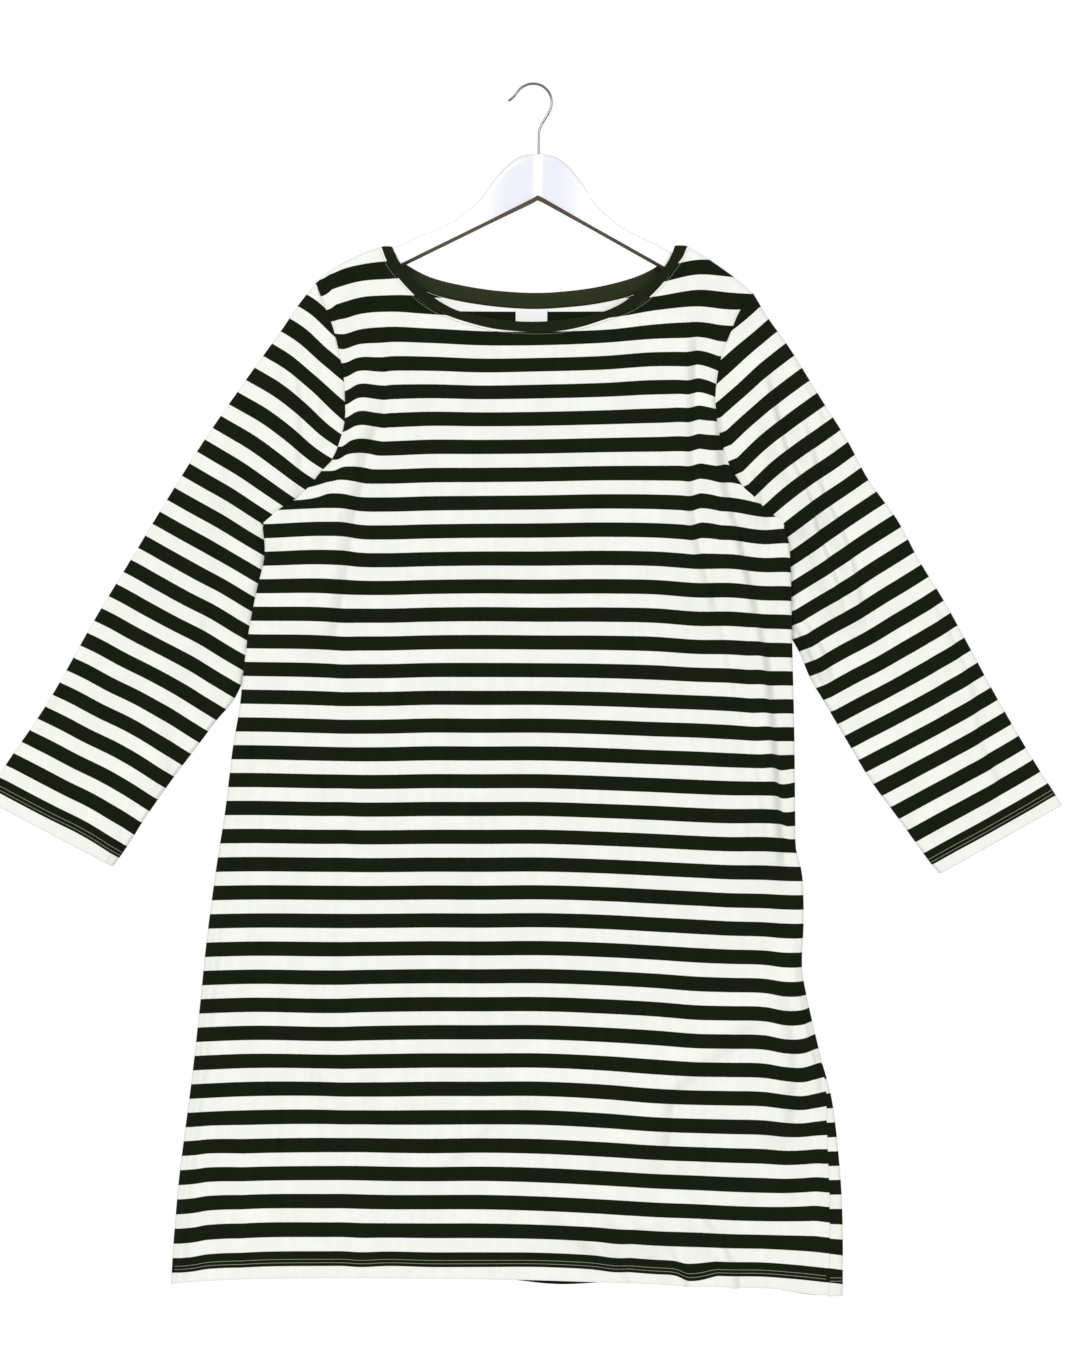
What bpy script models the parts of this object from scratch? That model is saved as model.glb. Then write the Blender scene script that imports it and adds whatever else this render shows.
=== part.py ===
"""A long-sleeved t-shirt dress with a boat neck, hanging flat on a wooden hanger.

Axes: X runs across the front, Y from front to back, Z up. The origin is the inside of the
hook's crown, where a rail carries the hanger. The dress is a flattened tube of jersey: a
front and a back panel joined at the shoulders and sides, two set-in sleeves and a neckband.
Every wall is an outer skin worked out from outlines and a depth rule, and an inner skin one
cloth thickness behind it.
"""
import math

import bmesh
import bpy
import numpy as np

MM = 0.001

# ---------------------------------------------------------------- driving dimensions (mm)
CLOTH_WALL = 1.6          # jersey, drawn thick enough to be a solid wall
BAND_WALL = 2.4           # neckband: jersey folded double round the raw edge
BAND_PROUD = 0.5          # how far the neckband stands out from the panels
SEAM_GAP = 0.34           # clearance between neighbouring pieces at a seam
SHOULDER_ROLL = 9.0       # radius with which the cloth rolls over the hanger's arm
SIDE_ROLL = 4.0           # radius of the pressed edge at side seams and sleeve edges
BODY_SWELL = 11.0         # how much further the middle of each panel stands out
SLEEVE_SWELL = 5.0        # the same at a sleeve's cuff
SWELL_REACH = 90.0        # distance from an edge over which the swell builds up
ARMPIT_PINCH = 0.3        # share by which a sleeve's wall thins where it bends at the armpit
ARMPIT_REACH = 25.0
TUCK_DEPTH = 10.5         # how far a sleeve's under edge lies behind the body's side

HANGER_AXIS = 6.0         # the hook's stem stands this far to the right of its crown
HANGER_TOP = -67.5        # height of the hanger's head below the crown
HANGER_TILT = math.radians(1.6)
HANGER_HALF_THICKNESS = 6.0
HANGER_RIDGE = 2.0        # extra thickness of the head along its centre line
HANGER_RIDGE_REACH = 46.0
HANGER_EDGE_RADIUS = 2.0
HANGER_UNDER_PEAK = 41.3  # drop from the head's top to the peak of the underside
HANGER_UNDER_SLOPE = 0.526
HOOK_RADIUS = 19.5        # to the wire's centre line
HOOK_WIRE = 1.5           # the wire's own radius

LABEL_WIDTH = 31.0
LABEL_HEIGHT = 21.0
LABEL_WALL = 1.0

# Outlines seen from the front, as rows of (across, up) in mm, each from the top down or
# from left to right. "Left" is the left of the front view.
OUTER_LEFT = [            # neck, shoulder, outer edge of the sleeve, cuff
    (-131, -153.5), (-145, -157), (-160, -161.5), (-177, -169), (-194, -178.5), (-210, -192),
    (-226, -212), (-245, -240), (-278, -286), (-318, -344), (-355, -403), (-390, -461),
    (-425, -519), (-469, -597), (-508, -655), (-531, -691)]
OUTER_RIGHT = [
    (138, -153.5), (150, -156.5), (165, -165), (182, -176.5), (199, -189), (214, -202),
    (230, -228), (250, -256), (281, -306), (305, -344), (326, -383), (354, -422),
    (375, -461), (399, -500), (420, -538), (452, -597), (486, -655), (513, -697)]
SHOULDER_ROWS = (1, 5)    # the rows of an outer edge that begin and end the shoulder seam

ARMHOLE_LEFT = [
    (-210, -192), (-200, -218), (-193.5, -234), (-187, -259), (-182.5, -288), (-182, -310),
    (-188, -347), (-203, -373), (-228, -400), (-243, -408), (-262, -426)]
ARMHOLE_RIGHT = [
    (214, -202), (206, -212), (198.5, -224), (192, -240), (183, -263), (178, -288),
    (176.5, -312), (182, -340), (194, -370), (215, -399), (235, -415), (245, -428)]

SIDE_LEFT = [
    (-262, -426), (-260, -456), (-268, -492), (-275, -528), (-280, -565), (-284, -603),
    (-291, -645), (-298, -703), (-307, -761), (-316, -829), (-323, -897), (-330, -960),
    (-337, -1014), (-343, -1062), (-348, -1120), (-350.5, -1162)]
SIDE_RIGHT = [
    (245, -428), (250, -456), (252, -540), (254, -626), (255, -713), (255.5, -740),
    (260, -757), (262.5, -776), (263, -815), (261.5, -856), (267, -888), (274, -919),
    (281, -948), (289, -977), (294, -1009), (299, -1062), (301, -1111), (301, -1174)]
HEM = [
    (-350.5, -1162), (-326, -1160), (-280, -1158), (-187, -1157), (-94, -1158), (-24, -1159),
    (46, -1161), (104, -1163), (162, -1167), (232, -1168), (256, -1171), (279, -1174),
    (301, -1174)]

UNDER_LEFT = [            # underarm edge of the sleeve, armpit to cuff, behind the body at first
    (-262, -426), (-265, -436), (-264, -447), (-257, -464), (-256, -488), (-263, -518),
    (-270, -546), (-279, -572), (-291, -597), (-307, -616), (-321, -635), (-350, -674),
    (-377, -713), (-390, -734), (-406, -757)]
UNDER_RIGHT = [
    (245, -428), (250, -437), (252, -448), (245, -466), (241, -490), (244, -514),
    (250, -533), (259, -549), (271, -577), (283, -597), (305, -635), (328, -674),
    (356, -713), (384, -752), (394, -764)]

NECK_FRONT = [            # seam between the front panel and the neckband
    (-145, -157), (-140, -173), (-131, -188), (-117, -204), (-98, -217), (-80, -225),
    (-60, -231.5), (-38, -237), (-15, -240), (6, -241.5), (26, -240), (47, -235.5),
    (67, -229), (87, -222), (100, -216), (114, -206), (128, -191), (138, -178),
    (145.5, -168), (150, -156.5)]
NECK_FRONT_FREE = [       # free edge of the neckband in front
    (-131, -153.5), (-127, -171), (-114, -188), (-97, -203.5), (-70, -219), (-41, -226.5),
    (0, -230.5), (41, -226.5), (66, -220), (94, -207), (114, -191), (128, -174),
    (134, -164), (138, -153.5)]
NECK_BACK = [             # seam between the back panel and the neckband
    (-145, -157), (-136, -176), (-119, -192), (-97, -204), (-72, -210.5), (-43, -215),
    (-15, -217.5), (6, -218), (26, -217), (57, -213.5), (87, -207), (108, -199),
    (124, -188), (141, -172), (150, -156.5)]
NECK_BACK_FREE = [        # free edge of the neckband behind
    (-131, -153.5), (-126, -168), (-115, -179), (-97, -188), (-72, -196), (-43, -201),
    (-15, -203.5), (6, -204), (26, -203), (57, -199), (87, -192), (108, -184.5),
    (123, -175), (132, -165), (138, -153.5)]

HANGER_UPPER = [          # (distance from the stem, drop below the head's top)
    (0, 0), (12, 1), (21, 4.5), (31, 12.5), (39, 22), (46, 31), (54, 43.5), (66, 55.5),
    (85, 69.5), (116, 84), (137, 94.2), (150, 98), (166, 102.8), (183, 111.2), (193, 119.5),
    (203, 130)]

# Largest folds. A fold is a soft ridge (height above 0) or trough (below 0) along a bent
# line; "near" and "far" are its half-widths on its left and right side.
# layer, (x, z) start, (x, z) middle, (x, z) end, near, far, height
FOLDS = [
    ("front", (-169, -238), (-165, -330), (-170, -470), 22, 9, 3.2),
    ("front", (-182, -336), (-176, -380), (-184, -440), 14, 8, 2.4),
    ("front", (172, -240), (164, -360), (170, -545), 9, 20, 3.4),
    ("front", (196, -440), (208, -545), (222, -640), 26, 7, 3.6),
    ("front", (222, -640), (230, -690), (252, -745), 24, 5, 4.4),
    ("front", (262, -868), (262, -980), (256, -1120), 9, 11, -5.0),
    ("front", (278, -960), (279, -1080), (278, -1190), 10, 9, 3.0),
    ("front", (98, -1010), (86, -1100), (84, -1190), 30, 22, 4.2),
    ("front", (150, -1050), (152, -1120), (158, -1190), 20, 26, -3.6),
    ("front", (-230, -980), (-244, -1090), (-250, -1190), 26, 26, 3.0),
    ("front", (-60, -800), (-72, -960), (-70, -1190), 44, 44, 2.6),
    ("back", (-172, -238), (-176, -350), (-190, -520), 18, 12, 3.2),
    ("back", (178, -240), (176, -360), (186, -560), 12, 18, 3.4),
    ("back", (-40, -300), (-58, -520), (-66, -760), 46, 34, 2.8),
    ("back", (72, -420), (92, -700), (110, -1000), 36, 46, -2.8),
    ("back", (-190, -820), (-206, -1010), (-216, -1190), 26, 36, 4.0),
    ("back", (-20, -930), (-12, -1070), (-8, -1190), 34, 30, -3.4),
    ("back", (170, -900), (190, -1050), (200, -1190), 32, 28, 4.2),
]

# Shares of an edge's length at which the grids have their points.
ARMHOLE_STEPS = [0, 0.0045, 0.017, 0.034, 0.11, 0.22, 0.34, 0.46, 0.58, 0.7, 0.82, 0.93,
                 0.985, 0.995, 1]
SIDE_STEPS = [0.01, 0.06, 0.13, 0.2, 0.27, 0.33, 0.385, 0.425, 0.47, 0.55, 0.64, 0.73, 0.82,
              0.91, 1]
SIDE_PULL = 5             # how quickly the pull of a side edge dies away across a panel
ARMHOLE_SHARE = 0.26      # of a panel's height that its armhole takes
SHOULDER_SHARE = 0.2      # of a panel's columns that each shoulder takes
SHOULDER_STEPS = [0, 0.0011, 0.0038, 0.0075, 0.05, 0.1, 0.15]
NECK_STEPS = [0, 0.0045, 0.016, 0.034, 0.1, 0.19, 0.29, 0.39, 0.5]
# Sleeve rings: share of the outer edge, share of the under edge, how much of the armhole's
# curve is left in the ring. The first rings fan out round the armpit.
SLEEVE_RINGS = [
    (0, 0, 1), (0.12, 0.006, 0.6), (0.22, 0.014, 0.3), (0.3, 0.026, 0.12), (0.37, 0.045, 0.04),
    (0.43, 0.08, 0), (0.49, 0.14, 0), (0.56, 0.24, 0), (0.64, 0.36, 0), (0.73, 0.5, 0),
    (0.82, 0.66, 0), (0.91, 0.83, 0), (1, 1, 0)]


# ---------------------------------------------------------------- curves and distances
def smooth_path(rows, shares):
    """Points at the given shares of the length of a smooth curve through the rows."""
    rows = np.array(rows, float)
    ahead = np.vstack([2 * rows[0] - rows[1], rows, 2 * rows[-1] - rows[-2]])
    pieces = []
    for index in range(len(rows) - 1):
        before, start, end, after = ahead[index:index + 4]
        t = np.linspace(0, 1, 24, endpoint=False)[:, None]
        pieces.append(0.5 * (2 * start + (end - before) * t
                             + (2 * before - 5 * start + 4 * end - after) * t ** 2
                             + (3 * start - before - 3 * end + after) * t ** 3))
    fine = np.vstack(pieces + [rows[-1:]])
    length = np.concatenate([[0], np.cumsum(np.linalg.norm(np.diff(fine, axis=0), axis=1))])
    wanted = np.asarray(shares) * length[-1]
    return np.stack([np.interp(wanted, length, fine[:, k]) for k in range(2)], axis=1)


def edge_distance(path, x, z):
    """Distance in the front view from each point (x, z) to the nearest point of a path."""
    nearest = np.full(np.shape(x), np.inf)
    for (x1, z1), (x2, z2) in zip(path[:-1], path[1:]):
        dx, dz = x2 - x1, z2 - z1
        along = np.clip(((x - x1) * dx + (z - z1) * dz) / (dx * dx + dz * dz), 0, 1)
        nearest = np.minimum(nearest, np.hypot(x - x1 - along * dx, z - z1 - along * dz))
    return nearest


def roll(distance, radius):
    """A quarter circle: 0 at the edge, 1 from one radius inwards."""
    return np.sqrt(1 - (1 - np.clip(distance / radius, 0, 1)) ** 2)


def ease(share):
    """A smooth rise from 0 to 1 as the share goes from 0 to 1."""
    share = np.clip(share, 0, 1)
    return share ** 2 * (3 - 2 * share)


def swell(distance):
    """A slow rise from 0 at the edge towards 1 in the middle of a panel."""
    return 1 - np.exp(-distance / SWELL_REACH)


FINE = np.linspace(0, 1, 160)
TOP_EDGES = [smooth_path(OUTER_LEFT, FINE), smooth_path(OUTER_RIGHT, FINE)]
BODY_SIDES = [smooth_path(SIDE_LEFT, FINE), smooth_path(SIDE_RIGHT, FINE)]
SHOULDERS = [OUTER_LEFT[:SHOULDER_ROWS[1] + 1], OUTER_RIGHT[:SHOULDER_ROWS[1] + 1]]


def flattened_depth(x, z, top_distance, side_distance, swell_height):
    """Depth of the outer skin from the seam plane: rolled at both edges, swelling between.

    The roll is as round as the hanger's arm at the shoulders, and tighter away from them.
    """
    shoulder_distance = np.minimum(*(edge_distance(path, x, z) for path in SHOULDERS))
    radius = SIDE_ROLL + (SHOULDER_ROLL - SIDE_ROLL) * np.exp(-shoulder_distance / 60)
    rolled = radius * roll(top_distance, radius) * roll(side_distance, SIDE_ROLL)
    return rolled + swell_height * swell(top_distance) * swell(side_distance)


def fold_relief(layer, x, z):
    """Sum of the folds of one layer, each fading towards its two ends."""
    total = np.zeros(np.shape(x))
    for name, start, middle, end, near, far, height in FOLDS:
        if name != layer:
            continue
        down = np.clip((start[1] - z) / (start[1] - end[1]), 0, 1)
        bend = middle[0] - (start[0] + end[0]) / 2
        line = start[0] + (end[0] - start[0]) * down + 4 * bend * down * (1 - down)
        away = x - line
        width = np.where(away < 0, near, far)
        fade = ease((start[1] - z) / 60) * ease((z - end[1]) / 45)
        total += height * fade * np.exp(-(away / width) ** 2)
    return total


def body_depth(layer, x, z):
    """Depth of a body panel's outer skin at points of the front view."""
    top = np.minimum(*(edge_distance(path, x, z) for path in TOP_EDGES))
    side = np.minimum(*(edge_distance(path, x, z) for path in BODY_SIDES))
    flat = flattened_depth(x, z, top, side, BODY_SWELL)
    hold = np.clip(np.minimum(top, side) / 14, 0, 1) ** 2
    return flat + hold * fold_relief(layer, x, z)


# ---------------------------------------------------------------- meshes
def make_material(name, colour, roughness, metallic=0.0):
    material = bpy.data.materials.new(name)
    material.use_nodes = True
    shader = material.node_tree.nodes["Principled BSDF"]
    shader.inputs["Base Color"].default_value = (*colour, 1)
    shader.inputs["Roughness"].default_value = roughness
    shader.inputs["Metallic"].default_value = metallic
    return material


def add_object(name, points, faces, material, collection):
    """Put points (mm) and faces in a mesh object, with its faces pointing outwards."""
    mesh = bpy.data.meshes.new(name)
    mesh.from_pydata((np.asarray(points) * MM).tolist(), [], faces)
    work = bmesh.new()
    work.from_mesh(mesh)
    bmesh.ops.recalc_face_normals(work, faces=work.faces)
    work.to_mesh(mesh)
    work.free()
    mesh.materials.append(material)
    mesh.shade_smooth()
    mesh.set_sharp_from_angle(angle=math.radians(50))
    thing = bpy.data.objects.new(name, mesh)
    collection.objects.link(thing)
    return thing


def field_normals(layer, facing, x, z):
    """Unit normals of a body panel's outer skin, from the slope of its depth rule."""
    step = 0.2
    slope_x = (body_depth(layer, x + step, z) - body_depth(layer, x - step, z)) / (2 * step)
    slope_z = (body_depth(layer, x, z + step) - body_depth(layer, x, z - step)) / (2 * step)
    normal = np.stack([-slope_x, np.full(np.shape(x), float(facing)), -slope_z], axis=-1)
    return normal / np.linalg.norm(normal, axis=-1, keepdims=True)


def skin_normals(skin, ring):
    """Unit normals of a grid of points; a ring grid closes on itself across its rows."""
    if ring:
        across = np.roll(skin, -1, axis=1) - np.roll(skin, 1, axis=1)
    else:
        across = np.gradient(skin, axis=1)
    down = np.gradient(skin, axis=0)
    normal = np.cross(across, down)
    return normal / np.linalg.norm(normal, axis=2, keepdims=True)


def ring_normals(skin, lines):
    """Unit normals of a ring grid, kept within the plane of each ring's line and Y."""
    lines = lines / np.linalg.norm(lines, axis=1, keepdims=True)
    around = np.roll(skin, -1, axis=1) - np.roll(skin, 1, axis=1)
    along = around[..., 0] * lines[:, None, 0] + around[..., 2] * lines[:, None, 1]
    normal = np.stack([-around[..., 1] * lines[:, None, 0], along,
                       -around[..., 1] * lines[:, None, 1]], axis=2)
    return normal / np.linalg.norm(normal, axis=2, keepdims=True)


def wall_between(name, outer, inner, ring, material, collection):
    """Close the space between two grids of points into one wall."""
    rows, columns = outer.shape[:2]
    count = rows * columns
    steps = columns if ring else columns - 1
    faces = []
    for row in range(rows - 1):
        for column in range(steps):
            after = (column + 1) % columns
            a, b = row * columns + column, row * columns + after
            c, d = a + columns, b + columns
            faces.append((a, b, d, c))
            faces.append((count + a, count + c, count + d, count + b))
    for row in (0, rows - 1):
        for column in range(steps):
            a, b = row * columns + column, row * columns + (column + 1) % columns
            faces.append((a, b, count + b, count + a))
    if not ring:
        for column in (0, columns - 1):
            for row in range(rows - 1):
                a, b = row * columns + column, (row + 1) * columns + column
                faces.append((a, b, count + b, count + a))
    points = np.vstack([outer.reshape(-1, 3), inner.reshape(-1, 3)])
    return add_object(name, points, faces, material, collection)


# ---------------------------------------------------------------- body panels
def upward_normal(start, end):
    """Unit normal, within the seam plane, of a line from start to end; it points up."""
    run = np.subtract(end, start).astype(float)
    normal = np.array([-run[1], 0, run[0]]) * (1 if run[0] > 0 else -1)
    return normal / np.linalg.norm(normal)


def shoulder_end_normal(outer_edge):
    """Normal of a shoulder's outer end, shared by the panels and the sleeve."""
    end = SHOULDER_ROWS[1]
    return upward_normal(outer_edge[end - 1], outer_edge[end + 1])


def panel_plan(neckline):
    """Grid of (across, up) points of a body panel, between its four edges.

    Rows run from the shoulders to the hem, columns from the left side to the right. Each
    column runs straight from the top edge to the hem, and the armholes and sides then pull
    the columns next to them into line.
    """
    half = SHOULDER_STEPS + [SHOULDER_SHARE + s * (1 - 2 * SHOULDER_SHARE) for s in NECK_STEPS]
    across = np.array(half + [1 - s for s in reversed(half[:-1])])
    down = np.array([s * ARMHOLE_SHARE for s in ARMHOLE_STEPS]
                    + [ARMHOLE_SHARE + s * (1 - ARMHOLE_SHARE) for s in SIDE_STEPS])
    shoulder = slice(SHOULDER_ROWS[0], SHOULDER_ROWS[1] + 1)
    in_left = across < SHOULDER_SHARE
    in_right = across > 1 - SHOULDER_SHARE
    in_neck = ~(in_left | in_right)
    top = np.zeros((len(across), 2))
    top[in_left] = smooth_path(OUTER_LEFT[shoulder][::-1], across[in_left] / SHOULDER_SHARE)
    top[in_right] = smooth_path(OUTER_RIGHT[shoulder],
                                1 - (1 - across[in_right]) / SHOULDER_SHARE)
    top[in_neck] = smooth_path(neckline,
                               (across[in_neck] - SHOULDER_SHARE) / (1 - 2 * SHOULDER_SHARE))
    bottom = smooth_path(HEM, across)
    left = np.vstack([smooth_path(ARMHOLE_LEFT, ARMHOLE_STEPS),
                      smooth_path(SIDE_LEFT, SIDE_STEPS)])
    right = np.vstack([smooth_path(ARMHOLE_RIGHT, ARMHOLE_STEPS),
                       smooth_path(SIDE_RIGHT, SIDE_STEPS)])
    u = across[None, :, None]
    v = down[:, None, None]
    level = (1 - across) * top[0, 1] + across * top[-1, 1]
    straight = (1 - v) * np.stack([top[:, 0], level], axis=1) + v * bottom
    straight[..., 1] += (1 - down[:, None]) ** 3 * (top[:, 1] - level)
    plan = (straight + (1 - u) ** SIDE_PULL * (left[:, None] - straight[:, :1])
            + u ** SIDE_PULL * (right[:, None] - straight[:, -1:]))
    seam = np.zeros(plan.shape[:2], bool)
    seam[0] = ~in_neck
    seam[0, np.flatnonzero(in_neck)[[0, -1]]] = True
    seam[len(ARMHOLE_STEPS) - 1:, [0, -1]] = True
    return plan, seam


def make_panel(name, layer, facing, neckline, material, collection):
    """A body panel; facing is -1 for the front and +1 for the back."""
    plan, seam = panel_plan(neckline)
    x, z = plan[..., 0], plan[..., 1]
    depth = np.where(seam, 0, body_depth(layer, x, z))
    outer = np.stack([x, facing * (depth + SEAM_GAP / 2), z], axis=2)
    normal = field_normals(layer, facing, x, z)
    edge = skin_normals(outer, False)[seam] * facing
    edge[:, 1] = 0
    normal[seam] = edge / np.linalg.norm(edge, axis=1, keepdims=True)
    for end, outer_edge in ((0, OUTER_LEFT), (-1, OUTER_RIGHT)):
        neck_point = np.argmin(np.abs(x[0] - NECK_FRONT[end][0]))
        normal[0, neck_point] = upward_normal(NECK_FRONT[end], NECK_FRONT_FREE[end])
        normal[0, end] = shoulder_end_normal(outer_edge)
    inner = outer - CLOTH_WALL * normal
    wall_between(name, outer, inner, False, material, collection)


# ---------------------------------------------------------------- sleeves
def make_sleeve(name, outer_edge, armhole, under_edge, sign, material, collection):
    """A sleeve: a flattened tube lofted from the armhole to the cuff.

    Each ring runs down the front from the outer to the under edge, and back up behind.
    The under edge sinks behind the body's side where the two lie on each other.
    """
    over_share, under_share, left_bow = np.array(SLEEVE_RINGS).T
    over = smooth_path(outer_edge[SHOULDER_ROWS[1]:], over_share)
    under = smooth_path(under_edge, under_share)
    seam = smooth_path(armhole, ARMHOLE_STEPS)
    tangent = np.gradient(seam, axis=0)
    away = np.stack([tangent[:, 1], -tangent[:, 0]], axis=1) * sign
    away /= np.linalg.norm(away, axis=1, keepdims=True)
    seam = seam + SEAM_GAP * away
    share = np.array(ARMHOLE_STEPS)
    t = share[None, :, None]
    plan = (1 - t) * over[:, None] + t * under[:, None]
    bow = seam - (1 - share)[:, None] * over[0] - share[:, None] * under[0]
    plan = plan + (left_bow[:, None] ** (1 + 4 * share ** 4))[..., None] * bow
    x, z = plan[..., 0], plan[..., 1]
    top = edge_distance(smooth_path(outer_edge, FINE), x, z)
    side = edge_distance(smooth_path(under_edge, FINE), x, z)
    slack = BODY_SWELL + (SLEEVE_SWELL - BODY_SWELL) * ease(over_share / 0.4)[:, None]
    depth = flattened_depth(x, z, top, side, slack)
    depth[:, [0, -1]] = 0
    sink = ease(under_share / 0.07) * (1 - ease((under_share - 0.45) / 0.45))
    middle = TUCK_DEPTH * sink[:, None] * ease(share / 0.8)
    front = np.stack([x, middle - depth, z], axis=2)
    back = np.stack([x, middle + depth, z], axis=2)[:, 1:-1][:, ::-1]
    outer = np.concatenate([front, back], axis=1)
    from_armpit = np.hypot(outer[..., 0] - under[0, 0], outer[..., 2] - under[0, 1])
    near = np.exp(-(from_armpit / ARMPIT_REACH) ** 2)[..., None]
    run = np.gradient(under, axis=0) * sign
    pinched = ring_normals(outer, np.stack([run[:, 1], -run[:, 0]], axis=1))
    normal = (1 - near) * skin_normals(outer, True) * -sign + near * pinched
    normal /= np.linalg.norm(normal, axis=2, keepdims=True)
    head = len(ARMHOLE_STEPS)
    normal[0, 1:head - 1] = field_normals("front", -1, x[0, 1:-1], z[0, 1:-1])
    normal[0, head:] = field_normals("back", 1, x[0, 1:-1], z[0, 1:-1])[::-1]
    normal[0, 0] = shoulder_end_normal(outer_edge)
    normal[0, head - 1] = (-0.29 * sign, 0, -0.96)
    for beside in (head - 2, head):
        normal[0, beside] += (0, 0, -0.4)
        normal[0, beside] /= np.linalg.norm(normal[0, beside])
    inner = outer - CLOTH_WALL * (1 - ARMPIT_PINCH * near) * normal
    wall_between(name, outer, inner, True, material, collection)


# ---------------------------------------------------------------- neckband and label
def band_half(seam_rows, free_rows, layer):
    """Half of the neckband's ring: rows of points from the seam to the free edge."""
    shares = np.array(NECK_STEPS + [1 - s for s in reversed(NECK_STEPS[:-1])])
    seam = smooth_path(seam_rows, shares)
    free = smooth_path(free_rows, shares)
    toward = free - seam
    seam = seam + SEAM_GAP * toward / np.linalg.norm(toward, axis=1, keepdims=True)
    rows = np.linspace(0, 1, 4)[:, None, None]
    plan = (1 - rows) * seam + rows * free
    depth = body_depth(layer, plan[..., 0], plan[..., 1])
    depth[:, [0, -1]] = 0
    return plan, depth


def make_band(material, collection):
    """The neckband: a ring that carries the panels' surfaces on to the neck opening."""
    plan, depth = band_half(NECK_FRONT, NECK_FRONT_FREE, "front")
    front = np.stack([plan[..., 0], -depth, plan[..., 1]], axis=2)
    front_normal = field_normals("front", -1, plan[..., 0], plan[..., 1])
    plan, depth = band_half(NECK_BACK, NECK_BACK_FREE, "back")
    back = np.stack([plan[..., 0], depth, plan[..., 1]], axis=2)[:, 1:-1][:, ::-1]
    back_normal = field_normals("back", 1, plan[..., 0], plan[..., 1])[:, 1:-1][:, ::-1]
    skin = np.concatenate([front, back], axis=1)
    normal = np.concatenate([front_normal, back_normal], axis=1)
    tops = [0, front.shape[1] - 1]
    edge = skin_normals(skin, True)[:, tops]
    edge[..., 1] = 0
    normal[:, tops] = edge / np.linalg.norm(edge, axis=2, keepdims=True)
    outer = skin + BAND_PROUD * normal
    inner = outer - BAND_WALL * normal
    wall_between("neck_band", outer, inner, True, material, collection)


def make_label(material, collection):
    """A small blank label that hangs inside the back panel from the neck seam."""
    x = HANGER_AXIS - 7 + np.linspace(-0.5, 0.5, 5) * LABEL_WIDTH
    drop = np.linspace(0, LABEL_HEIGHT, 5)
    seam = -218.6
    across, up = np.meshgrid(x, seam - drop)
    depth = body_depth("back", across, up) - CLOTH_WALL - SEAM_GAP
    back = np.stack([across, depth, up], axis=2)
    front = back - np.array([0, LABEL_WALL, 0])
    wall_between("neck_label", back, front, False, material, collection)


# ---------------------------------------------------------------- hanger and hook
def on_hanger(points):
    """Place points of the upright hanger: turned about the hook's crown, then shifted."""
    points = np.asarray(points, float) + np.array([HANGER_AXIS, 0, HANGER_TOP])
    pivot = np.array([HANGER_AXIS, 0, HANGER_TOP])
    cos, sin = math.cos(HANGER_TILT), math.sin(HANGER_TILT)
    x, z = (points - pivot)[..., 0], (points - pivot)[..., 2]
    turned = np.stack([x * cos + z * sin, points[..., 1], -x * sin + z * cos], axis=-1)
    turned[..., 0] += pivot[0]
    turned[..., 2] += pivot[2]
    return turned


def make_hanger(material, collection):
    """The wooden hanger: upright sections set side by side from one arm's end to the other.

    A section is round on top and nearly square below; the last ones shrink to the end.
    """
    reach = HANGER_UPPER[-1][0]
    half = np.concatenate([[0], np.linspace(8, 64, 8), np.linspace(80, reach - 14, 7),
                           reach - np.array([8.0, 4.0, 1.2, 0.0])])
    rows = smooth_path(HANGER_UPPER, FINE)
    places = np.concatenate([-half[:0:-1], half])
    away = np.abs(places)
    upper = -np.interp(away, rows[:, 0], rows[:, 1])
    lower = -(HANGER_UNDER_PEAK + HANGER_UNDER_SLOPE * away)
    closing = 0.18 + 0.82 * roll(reach - away, 12.0)
    middle, height = (upper + lower) / 2, (upper - lower) / 2 * closing
    thick = HANGER_HALF_THICKNESS * (0.35 + 0.65 * roll(reach - away, 6.0))
    thick = thick + HANGER_RIDGE * np.clip(1 - away / HANGER_RIDGE_REACH, 0, 1)
    arc = np.linspace(0, math.pi, 7)
    corner = np.linspace(0, math.pi / 2, 3)
    rings = []
    for x, mid, tall, wide in zip(places, middle, height, thick):
        crown = min(wide, tall)
        edge = min(HANGER_EDGE_RADIUS, wide * 0.4, tall * 0.4)
        ring = [(x, wide * math.cos(a), mid + tall - crown + crown * math.sin(a)) for a in arc]
        ring += [(x, -wide + edge - edge * math.cos(a), mid - tall + edge - edge * math.sin(a))
                 for a in corner]
        ring += [(x, wide - edge + edge * math.sin(a), mid - tall + edge - edge * math.cos(a))
                 for a in corner]
        rings.append(ring)
    grid = on_hanger(np.array(rings))
    count = grid.shape[1]
    faces = [tuple(range(count)), tuple(range(len(places) * count - count, len(places) * count))]
    for row in range(len(places) - 1):
        for column in range(count):
            a = row * count + column
            b = row * count + (column + 1) % count
            faces.append((a, b, b + count, a + count))
    add_object("hanger_body", grid.reshape(-1, 3), faces, material, collection)


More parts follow.
